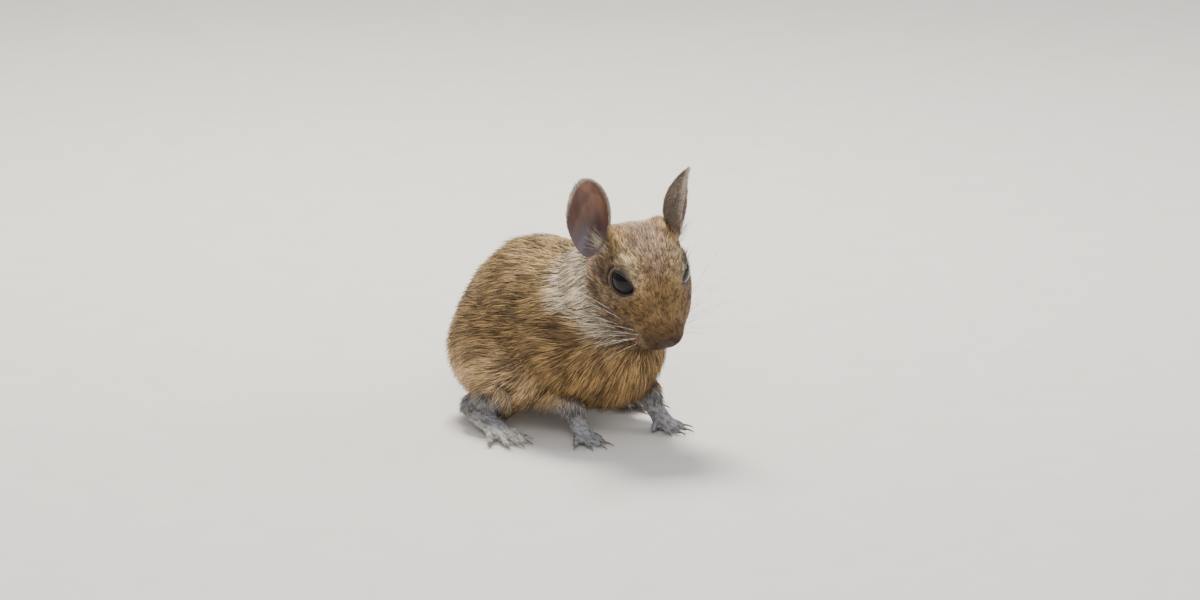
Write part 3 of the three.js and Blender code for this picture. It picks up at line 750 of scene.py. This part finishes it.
def laid_down(directions, surface_normals):
    """Directions with what stands up from the surface taken away."""
    standing = np.einsum("nk,nk->n", directions, surface_normals)
    return directions - surface_normals * standing[:, None]


print("tail, mm", round(float(np.linalg.norm(tail_runs, axis=1).sum() / MM)))

# %% [markdown]
# Roots of the coat
# Roots are drawn over the skin by area and density with a seeded draw, most of them on the
# brush, the face and the feet, where hair is finest. The nose, the lids, the nostrils and what
# touches the floor stay bare.

# %% Roots on the skin
triangles = triangles_of(skin.data)
corner = points[triangles]
areas = area_of(corner)
#          torso neck head ear limb foot tail brush
DENSITY = [2.5, 4.0, 8.5, 5.0, 5.5, 9.0, 7.0, 30.0]
LENGTH = [10.5, 9.0, 4.6, 1.4, 4.4, 0.95, 3.6, 15.5]
WIDTH = [0.42, 0.36, 0.25, 0.16, 0.24, 0.15, 0.2, 0.34]
LIFT = [16, 18, 16, 9, 15, 9, 13, 19]
TUFTS = 138000
BARE_NOSE = [3.6, 3.0, 2.6]


def mixed(split, corner_values):
    """Values at a place inside each triangle, from the values at its corners."""
    return np.einsum("nc,nck->nk", split, corner_values)


triangle_weights = weights[triangles].mean(axis=1)
wanted = areas * (triangle_weights @ np.array(DENSITY))
bare_skin = (lid + nostril_and_mouth_shade * in_front)[triangles].mean(axis=1)
centres = corner.mean(axis=1)
nose_distance = np.linalg.norm((in_head(centres) - [0, 1.4, 0]) / BARE_NOSE, axis=1)
wanted *= (bare_skin < 0.35) & (nose_distance > 1)
wanted *= np.where(drawn(centres)[:, 2] < 0.35, 0, 1)
chosen = rng.choice(len(triangles), TUFTS, p=wanted / wanted.sum())
chosen.sort()
split = rng.dirichlet((1, 1, 1), TUFTS)
root = mixed(split, corner[chosen])
root_normal = unit(mixed(split, normals[triangles[chosen]]))
root_weights = mixed(split, weights[triangles[chosen]])
root_colour = coat_colours(root, root_normal, root_weights)
print("tufts", TUFTS)

# %% [markdown]
# Length and width of the tufts
# Hair is longest on the back and shortest on the snout and feet. In front of the eye it would
# lie over the ball, so it is cut short where its direction points at the eye.

# %% Length and width of each tuft
head_root = in_head(root)
length = root_weights @ np.array(LENGTH)
snout = np.clip(1 - head_root[:, 1] / 24, 0, 1) * root_weights[:, HEAD]
length *= 1 - 0.66 * snout
length *= rng.uniform(0.72, 1.22, TUFTS)
width = (root_weights @ np.array(WIDTH)) * (1 - 0.3 * snout) * rng.uniform(0.8, 1.2, TUFTS)
lift = np.radians(root_weights @ np.array(LIFT)) * rng.uniform(0.6, 1.5, TUFTS) + 0.06 * waves(root, 7, 3)
flow = unit(laid_down(coat_flow(root, root_weights), root_normal))
to_eye = np.stack([eye - root for eye in eye_places.values()])
nearer = np.linalg.norm(to_eye, axis=2).argmin(axis=0)
to_eye = unit(to_eye[nearer, np.arange(TUFTS)])
aimed = fade(np.einsum("nk,nk->n", flow, to_eye), -0.3, 0.4)
length *= 1 - 0.78 * aimed * (1 - fade(from_eyes(root), 1, 6.5))
print("longest tuft, mm", round(float(length.max()), 1))

# %% [markdown]
# The bend of the tufts
# Each tuft rises from its root, bends down half way, and turns a little with its neighbours,
# so that partings wander over the coat. The tips of a small patch gather into one lock.

# %% Bend of each tuft
turn = 0.3 * waves(root, 5, 5) + rng.normal(0, 0.16, TUFTS)
side_way = np.cross(root_normal, flow)
flow = flow * np.cos(turn)[:, None] + side_way * np.sin(turn)[:, None]
side_way = np.cross(root_normal, flow)


def leaning(angle):
    return flow * np.cos(angle)[:, None] + root_normal * np.sin(angle)[:, None]


CLUMP = 2.6 * MM
GATHER = 0.34
ROOT_DEPTH = 0.15 * MM
FLOOR_GAP = 0.25 * MM
reach = (length * MM)[:, None]
sunk = root - root_normal * ROOT_DEPTH
half_way = sunk + leaning(lift) * reach * 0.5
tip = half_way + leaning(lift * 0.35 - 0.05) * reach * 0.5
cells = np.floor(root / (CLUMP * (0.5 + root_weights[:, [TORSO]] * 0.6))).astype(int)
_, clump, count = np.unique(cells, axis=0, return_inverse=True, return_counts=True)
clump = clump.ravel()
clump_shade = rng.uniform(0, 1, len(count))
tuft_shade = 0.55 * rng.uniform(0, 1, TUFTS) + 0.45 * clump_shade[clump]
clump_tip = np.stack([np.bincount(clump, tip[:, k]) for k in range(3)], axis=1) / count[:, None]
tip += (clump_tip[clump] - tip) * (GATHER * rng.uniform(0.3, 1, TUFTS))[:, None]
for ring_points in (half_way, tip):
    ring_points[:, 2] = np.maximum(ring_points[:, 2], FLOOR_GAP)
print("gathered locks", len(count))


# %% [markdown]
# Patches for baking
# Each tuft needs a small patch of the square that its colour is baked into. Every part of the
# body has a cell of the square, and a tuft's place in it follows its place on the body.

# %% Unwrap by parts
def unwrap(places, part_weights):
    """Each part of the body has its own cell of the square, filled by angle and length."""
    part = part_weights.argmax(axis=1)
    body = drawn(places)
    head = in_head(places)
    around_body = np.arctan2(body[:, 0], body[:, 2] - 35) / (2 * math.pi) + 0.5
    around_head = np.arctan2(head[:, 0], head[:, 2] - 1) / (2 * math.pi) + 0.5
    along_body = (body[:, 1] + 35) / 175
    along_head = head[:, 1] / 60
    height = body[:, 2] / 100
    across = np.where(np.isin(part, (HEAD, EAR)), around_head, around_body)
    along = np.where(np.isin(part, (EAR, LIMB)), height, along_body)
    along = np.where(part == HEAD, along_head, along)
    cell = np.stack([part % 4, part // 4], axis=1)
    inner = np.clip(np.stack([across, along], axis=1), 0.01, 0.99)
    return (cell + inner) * [0.25, 0.5]


PATCH = 0.0028
root_uv = np.clip(unwrap(root, root_weights), 0.002, 0.995)
print("patches", len(root_uv), "of", PATCH)


# %% [markdown]
# A mesh of tufts
# Each tuft is a thin closed blade of ten triangles: a root ring, a ring half way and a tip. The
# arrays become a mesh in one go, which is far quicker than an operator for each tuft.

# %% Blades
RING = np.array([0, 2 * math.pi / 3, 4 * math.pi / 3])
FACES = [(0, 1, 4, 3), (1, 2, 5, 4), (2, 0, 3, 5), (3, 4, 6), (4, 5, 6), (5, 3, 6), (0, 2, 1)]
CORNERS = np.array([corner_index for face in FACES for corner_index in face])
SIZES = np.array([len(face) for face in FACES])
PATCH_CORNERS = np.array([(0, 0), (1, 0), (0.5, 0.3), (0, 0.6), (1, 0.6), (0.5, 0.8), (0.5, 1)]) * PATCH


def blade_mesh(name, at_root, at_middle, at_tip, side, normal, half, colours, uv, shade):
    """One mesh of many closed blades, each with its colour, its shade and its baking patch."""
    total = len(at_root)
    verts = np.empty((total, 7, 3))
    for k, angle in enumerate(RING):
        offset = side * math.cos(angle) + normal * (0.55 * math.sin(angle))
        verts[:, k] = at_root + offset * half[:, None]
        verts[:, 3 + k] = at_middle + offset * (half * 0.8)[:, None]
    verts[:, 6] = at_tip
    starts = np.arange(total) * 7
    loops = (starts[:, None] + CORNERS).ravel()
    sizes = np.tile(SIZES, total)
    mesh = bpy.data.meshes.new(name)
    mesh.vertices.add(total * 7)
    mesh.vertices.foreach_set("co", verts.ravel())
    mesh.loops.add(len(loops))
    mesh.loops.foreach_set("vertex_index", loops)
    mesh.polygons.add(len(sizes))
    mesh.polygons.foreach_set("loop_start", np.concatenate([[0], np.cumsum(sizes)[:-1]]))
    mesh.polygons.foreach_set("use_smooth", np.ones(len(sizes), bool))
    uv_map = mesh.uv_layers.new(name="OFBake")
    uv_map.data.foreach_set("uv", (uv[:, None, :] + PATCH_CORNERS[CORNERS]).ravel())
    mesh.update()
    mesh.validate()
    write_colours(mesh, "coat", np.repeat(colours, 7, axis=0))
    along = np.tile([0, 0, 0, 0.55, 0.55, 0.55, 1], total)
    write_colours(mesh, "strand", np.stack([along, np.repeat(shade, 7), np.zeros(total * 7)], axis=1))
    piece = bpy.data.objects.new(name, mesh)
    bpy.context.collection.objects.link(piece)
    return piece


print("faces of a tuft", len(FACES))

# %% [markdown]
# The coat's finish
# An agouti hair is dark at its root and banded with yellow, and its tip is either pale or
# black. How far along the tuft a point is gives the band, and each tuft's own number the tip.

# %% Coat finish
DARK_HAIR, PALE_HAIR = (0.17, 0.15, 0.15, 1), (1.9, 1.8, 1.6, 1)
coat_finish = Finish("agouti_coat", roughness=0.55)
coat_base = coat_finish.attribute("coat")
strand = coat_finish.attribute("strand")
along_tuft = coat_finish.part(strand, 0)
lot = coat_finish.part(strand, 1)
dark = coat_finish.mix(1.0, coat_base, DARK_HAIR, "MULTIPLY")
pale = coat_finish.mix(1.0, coat_base, PALE_HAIR, "MULTIPLY")
banded = coat_finish.mix(along_tuft.step(0.02, 0.6), dark, coat_base)
golden = lot.step(0.5, 0.72) * along_tuft.step(0.3, 0.7)
banded = coat_finish.mix(golden, banded, pale)
black_tip = (1 - lot.step(0.29, 0.45)) * along_tuft.step(0.2, 0.7)
banded = coat_finish.mix(black_tip * 0.9, banded, dark)
coat_finish.colour(banded)
coat_finish.set(coat_finish.shader, {"Specular IOR Level": 0.25})
print("coat finish nodes", len(coat_finish.tree.nodes))

# %% [markdown]
# The coat
# The coat is divided from nose to tail into pieces of fewer than two hundred thousand faces, so
# that each can be loaded and baked alone.

# %% Coat pieces
PIECES = 8
order = np.argsort(root[:, 1], kind="stable")
for index, share in enumerate(np.array_split(order, PIECES)):
    coat = blade_mesh(
        f"coat_{index + 1}", sunk[share], half_way[share], tip[share], side_way[share],
        root_normal[share], (width * 0.5 * MM)[share], root_colour[share], root_uv[share],
        tuft_shade[share])
    coat.data.materials.append(coat_finish.material)
    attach(coat, "root")
print("coat pieces", PIECES, "triangles each", 10 * TUFTS // PIECES)

# %% [markdown]
# Eyes
# A degu's eye is a big dark ball with a wet cornea, half closed here by its lids. Each is a
# round ball, a hair smaller than its solid, and its gloss comes from the shader, not from a
# painted spot.

# %% Eyes
eye_finish = Finish("wet_dark_eye", roughness=0.09)
eye_finish.set(eye_finish.shader, {"IOR": 1.3, "Coat Weight": 0.12})
eye_finish.set(eye_finish.shader, {"Coat Roughness": 0.02, "Coat IOR": 1.4})
iris_noise = eye_finish.noise(300, 3)
eye_finish.colour(eye_finish.mix(iris_noise, rgb(6, 6, 9), rgb(20, 16, 18)))
for side in ("left", "right"):
    bpy.ops.object.select_all(action="DESELECT")
    bpy.ops.mesh.primitive_uv_sphere_add(
        segments=40, ring_count=24, radius=EYE_RADIUS * 0.99, location=middle(f"eye_{side}"))
    eye = bpy.context.active_object
    eye.name = f"eyeball_{side}"
    bpy.ops.object.transform_apply(location=True, rotation=True, scale=True)
    bpy.ops.object.shade_smooth()
    eye.data.materials.append(eye_finish.material)
    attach(eye, "root")
    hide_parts(f"eye_{side}")
    print("eyeball", side, "points", len(eye.data.vertices))

# %% [markdown]
# Lids
# The lids of a degu half close its eye and leave an almond that points down to the nose. A
# torus is bent onto the ball: its inner edge is the almond, dark and bare, and its outer edge
# runs under the skin, browner, so that the lids close the gap all round.

# %% Lids
LID_INSIDE, LID_OUTSIDE = (1.52, 0.7), (1.68, 1.14)
LID_THICK, LID_SLANT = 0.42, math.radians(-16)
LID_RISE = 0.05
CORNER_SHARPNESS = 0.28
out_way = Vector((0.86, -0.4, 0.31)).normalized()
forward = Vector((0, -1, 0)) - out_way * out_way.dot(Vector((0, -1, 0)))
forward = Matrix.Rotation(LID_SLANT, 3, out_way) @ forward.normalized()
across_way = out_way.cross(forward)
lid_finish = Finish("lid_skin", roughness=0.42)
lid_bare = lid_finish.mix(lid_finish.noise(1500, 3), rgb(20, 16, 17), rgb(44, 34, 32))
lid_outer = lid_finish.part(lid_finish.attribute("places"), 0).step(0.4, 0.85)
lid_finish.colour(lid_finish.mix(lid_outer, lid_bare, rgb(92, 74, 58)))
for side, sign in (("left", 1), ("right", -1)):
    bpy.ops.object.select_all(action="DESELECT")
    bpy.ops.mesh.primitive_torus_add(
        major_radius=1, minor_radius=0.5, major_segments=56, minor_segments=12)
    rim = bpy.context.active_object
    rim.name = f"lid_{side}"
    flat = read_points(rim.data)
    reach, angle = np.hypot(flat[:, 0], flat[:, 1]), np.arctan2(flat[:, 1], flat[:, 0])
    outer = reach - 0.5
    half_length, half_open = (a + (b - a) * outer for a, b in zip(LID_INSIDE, LID_OUTSIDE))
    rounded = 1 - CORNER_SHARPNESS + CORNER_SHARPNESS * np.abs(np.sin(angle))
    ray = np.array(out_way) + np.outer(half_length * np.cos(angle), forward)
    ray = unit(ray + np.outer(half_open * np.sin(angle) * rounded, across_way))
    ray *= (EYE_RADIUS / MM + LID_RISE + flat[:, 2] * 2 * LID_THICK)[:, None]
    spots = (ray + np.array(EYE_IN_HEAD) / MM) * [sign, 1, 1]
    write_points(rim.data, from_head(spots))
    write_colours(rim.data, "places", outer[:, None])
    bpy.ops.object.mode_set(mode="EDIT")
    bpy.ops.mesh.select_all(action="SELECT")
    bpy.ops.mesh.normals_make_consistent(inside=False)
    bpy.ops.object.mode_set(mode="OBJECT")
    bpy.ops.object.shade_smooth()
    rim.data.materials.append(lid_finish.material)
    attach(rim, "root")
    print("lid", side, "points", len(flat))

# %% [markdown]
# The ears' finish
# An ear is a thin bare cup: reddish brown inside with fine veins, a painted blue-grey sheen low
# in the cup, painted shade in its depth and along its folded edges, a pale thin rim, and grey
# outside. Where each of these lies is written to the points of the ear, and the finish reads it
# there.

# %% Ear finish
ear_finish = Finish("ear_skin", roughness=0.5)
ear_places = ear_finish.attribute("places")
veins = ear_finish.noise(220, 5, (1, 1, 0.35)).step(0.42, 0.66)
bare = ear_finish.mix(veins, EAR_INSIDE, rgb(84, 58, 50))
# Painted sheen: the inside turns blue-grey low in the cup, by the second column of places.
bare = ear_finish.mix(ear_finish.part(ear_places, 1) * 0.7 + 0.3, rgb(88, 84, 94), bare)
nap = ear_finish.noise(1500, 3, (1, 1, 0.25))
outside = ear_finish.mix(nap.step(0.3, 0.7), rgb(84, 72, 64), rgb(150, 136, 122))
# Painted shade: the inside darkened in the depth of the cup and along the folds of its edges.
cup_shade = ear_finish.mix(1.0, bare, (0.34, 0.29, 0.3, 1), "MULTIPLY")
bare = ear_finish.mix(ear_finish.attribute("cup_shade", "Fac"), bare, cup_shade)
cup = ear_finish.mix(ear_finish.part(ear_places, 0), outside, bare)
ear_finish.colour(ear_finish.mix(ear_finish.part(ear_places, 2), cup, rgb(196, 186, 176)))
ear_finish.bump(nap + veins * 0.6, 0.12 * MM, 0.5)
print("ear finish nodes", len(ear_finish.tree.nodes))

# %% [markdown]
# Ears
# Each solid ear is copied and subdivided, so that the cup stays thin and even, and its root
# runs into the fur of the head. The ear's own turn is undone on a copy of its points, which
# tells the inside from the outside and the rim from the middle.

# %% Ears
EAR_TURN = {"left": (66, 14, 35), "right": (58, -1, 34)}
ears = {}
for side, sign in (("left", 1), ("right", -1)):
    ear = copy_of([f"ear_{side}"], f"ear_cup_{side}")
    apply_modifier(ear, "SUBSURF", levels=2, render_levels=2)
    outward, lean, back = (math.radians(a) for a in EAR_TURN[side])
    turn_ear = np.array(Matrix.Rotation(-back, 3, "X") @ Matrix.Rotation(lean, 3, "Y")
                        @ Matrix.Rotation(outward, 3, "Z"))
    ear_points = read_points(ear.data)
    own = (in_head(ear_points) * [sign, 1, 1]) @ turn_ear
    own -= (own.min(axis=0) + own.max(axis=0)) / 2
    facing = ((read_points(ear.data, "normal") @ HEAD_AXES) * [sign, 1, 1]) @ turn_ear
    inner = fade(-facing[:, 1], -0.1, 0.35)
    half = own.max(axis=0)
    ring = np.hypot(own[:, 0] / half[0], np.maximum(own[:, 2], 0) / half[2])
    rim_share = fade(ring, 0.93, 1.0) * fade(own[:, 2], -8, 0) * 0.6
    # The second column is how low a point lies in the ear, which places the painted blue-grey sheen.
    write_colours(ear.data, "places", np.stack([inner, fade(own[:, 2], -9, -1), rim_share], axis=1))
    # Painted shade of the ear: strongest low in the middle of the cup and in a band along each edge.
    deep_shade = bell(np.hypot(own[:, 0] / half[0], (own[:, 2] + 5) / half[2]), 0.62)
    fold_shade = 0.65 * bell(np.abs(own[:, 0] / half[0]) - 0.76, 0.1) * fade(own[:, 2], -11, -4)
    cup_shade_share = np.maximum(deep_shade, fold_shade)
    ear.data.attributes.new("cup_shade", "FLOAT", "POINT").data.foreach_set("value", cup_shade_share)
    bpy.ops.object.shade_smooth()
    ear.data.materials.append(ear_finish.material)
    ears[side] = (ear, ear_points, inner, ring)
    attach(ear, "root")
    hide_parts(f"ear_{side}")
    print("ear", side, "points", len(ear_points))

# %% [markdown]
# Down of the ears
# The back of the ear and its rim carry a very short down that runs up from the root, and
# makes the edge soft against the light. It is built like the coat, from far smaller tufts,
# drawn by area over the outer side.

# %% Down of the ears
EAR_TUFTS = 5500
ear_part = np.tile(np.eye(len(PARTS))[EAR], (EAR_TUFTS, 1))
for side, (ear, ear_points, inner, ring) in ears.items():
    faces = triangles_of(ear.data)
    spots = ear_points[faces]
    edge = fade(ring[faces].mean(axis=1), 0.85, 0.97)
    area = area_of(spots) * ((1 - inner[faces].mean(axis=1)) + 0.5 * edge)
    picked = np.sort(rng.choice(len(faces), EAR_TUFTS, p=area / area.sum()))
    split = rng.dirichlet((1, 1, 1), EAR_TUFTS)
    base_spot = mixed(split, spots[picked])
    up_normal = unit(mixed(split, read_points(ear.data, "normal")[faces[picked]]))
    run_up = laid_down(coat_flow(base_spot, ear_part), up_normal)
    run_up = unit(run_up + (0.22 * up_normal + rng.normal(0, 0.12, (EAR_TUFTS, 3))))
    half_run = run_up * (0.5 * LENGTH[EAR] * MM * rng.uniform(0.7, 1.35, EAR_TUFTS))[:, None]
    half_width = 0.5 * WIDTH[EAR] * MM * rng.uniform(0.75, 1.25, EAR_TUFTS)
    down_colour = coat_colours(base_spot, up_normal, ear_part)
    down_colour += (np.array(COLLAR[:3]) - down_colour) * (0.05 + 0.5 * edge[picked])[:, None]
    down = blade_mesh(
        f"ear_down_{side}", base_spot, base_spot + half_run, base_spot + half_run * 2,
        np.cross(up_normal, run_up), up_normal, half_width, down_colour,
        np.clip(unwrap(base_spot, ear_part), 0.002, 0.995), rng.uniform(0.34, 0.62, EAR_TUFTS))
    down.data.materials.append(coat_finish.material)
    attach(down, "root")
    print("ear down", side, "tufts", EAR_TUFTS)

# %% [markdown]
# Claws
# The claws are small dark horn points, each a node of the frame. A copy is merged and
# subdivided, so that it is round, and all of them share one horn finish.

# %% Claws
claw_finish = Finish("horn", roughness=0.35)
streaks = claw_finish.noise(700, 3)
claw_finish.colour(claw_finish.mix(streaks, rgb(84, 76, 74), rgb(130, 118, 110)))
claw_names = [name for name in nodes if "_claw_" in name]
claws = copy_of(claw_names, "claws")
apply_modifier(claws, "SUBSURF", levels=2, render_levels=2)
bpy.ops.object.shade_smooth()
claws.data.materials.append(claw_finish.material)
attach(claws, "root")
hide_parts(*claw_names)
print("claws", len(claw_names))


# %% [markdown]
# Single long hairs
# Single long hairs are what the eye looks for on a rodent's face. Each is a row of fine
# tapered blades, end to end, that sinks a little along its way.

# %% Long hairs
HAIR_BLADES = 4


def bent_hairs(name, hairs, half_width, droop, colour):
    """Hairs as (root, aim, length in millimetres), each in a few blades, with a droop."""
    starts, middles, tips = [], [], []
    for base_point, direction, reach_mm in hairs:
        place = np.array(base_point)
        step_way = unit(np.array(direction))
        path = [place]
        for _ in range(HAIR_BLADES * 2):
            step_way = unit(step_way + np.array([0, 0, -droop]))
            place = place + step_way * reach_mm * MM / (HAIR_BLADES * 2)
            path.append(place)
        for begin, half, end in zip(path[0:-1:2], path[1::2], path[2::2]):
            starts.append(begin)
            middles.append(half)
            tips.append(end + (end - half) * 0.6)
    starts, middles, tips = (np.array(a) for a in (starts, middles, tips))
    starts[:, 2] = np.maximum(starts[:, 2], FLOOR_GAP)
    run = unit(tips - starts)
    side = unit(np.cross(run, [0, 0, 1.0]))
    taper = np.tile(np.linspace(1, 0.45, HAIR_BLADES), len(hairs)) * half_width * MM
    total = len(starts)
    piece = blade_mesh(
        name, starts, middles, tips, side, np.cross(run, side), taper,
        np.tile(colour[:3], (total, 1)), np.tile([0.5, 0.97], (total, 1)), np.full(total, 0.5))
    piece.data.materials.append(hair_finish.material)
    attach(piece, "root")
    print(name, len(hairs))


hair_finish = Finish("single_hairs", roughness=0.4)
hair_base = hair_finish.attribute("coat")
hair_finish.colour(hair_finish.mix(hair_finish.noise(400, 2) * 0.3, hair_base, rgb(120, 100, 84)))
hair_draw = np.random.default_rng(23)

# %% [markdown]
# Whiskers
# The whiskers stand in four rows of four on each side of the muzzle. The ones further back are
# longer and lean further back, and each row points a little lower than the one above it.

# %% Whiskers
WHISKER_ROWS = WHISKER_COLUMNS = 4
whiskers = []
for side in (-1, 1):
    for row in range(WHISKER_ROWS):
        for column in range(WHISKER_COLUMNS):
            wide = 7.4 + 0.8 * column - 0.5 * abs(row - 1)
            spot = np.array([side * wide, 5.0 + 1.8 * column, -0.2 - 1.5 * row])
            aim_way = np.array([side * 1.0, 0.25 + 0.28 * column, 0.3 - 0.28 * row])
            aim_way += hair_draw.normal(0, 0.08, 3)
            hair_length = 17 + 6 * column + hair_draw.uniform(-3, 3)
            whiskers.append((from_head(spot), HEAD_AXES @ aim_way, hair_length))
bent_hairs("whiskers", whiskers, 0.17, 0.04, rgb(240, 236, 228))

# %% [markdown]
# Hairs in the ears
# A pale tuft grows from the front edge of each ear's root and fans out over the cup.

# %% Ear hairs
EAR_HAIRS = 110
ear_hairs = []
for side in (1, -1):
    for _ in range(EAR_HAIRS):
        wide = 12.6 + hair_draw.uniform(-1.5, 2)
        back = 33 + hair_draw.uniform(-1, 4)
        spot = np.array([side * wide, back, 11 + hair_draw.uniform(-2, 2.5)])
        aim_way = np.array([side * 0.55, 0.5, 0.45]) + hair_draw.normal(0, 0.16, 3)
        ear_hairs.append((from_head(spot), HEAD_AXES @ aim_way, hair_draw.uniform(5, 9)))
bent_hairs("ear_hairs", ear_hairs, 0.11, 0.0, rgb(222, 208, 180))

# %% [markdown]
# Bristles on the hind toes
# Stiff pale bristles reach over the claws of the hind feet. They start on the top of each toe,
# a little behind its claw, whose box gives the place.

# %% Toe bristles
BRISTLES_PER_TOE = 16
bristles = []
for name in claw_names:
    if not name.startswith("hind"):
        continue
    for _ in range(BRISTLES_PER_TOE):
        offset = np.array([hair_draw.uniform(-1, 1) * 1.1, 2.2, 0.9 + hair_draw.uniform(0, 0.5)])
        aim_way = np.array([0, -1, 0.12]) + hair_draw.normal(0, 0.12, 3)
        bristle_root = np.array(middle(name)) + offset * MM
        bristles.append((bristle_root, aim_way, hair_draw.uniform(3, 4.6)))
bent_hairs("toe_bristles", bristles, 0.1, 0.03, rgb(232, 228, 220))
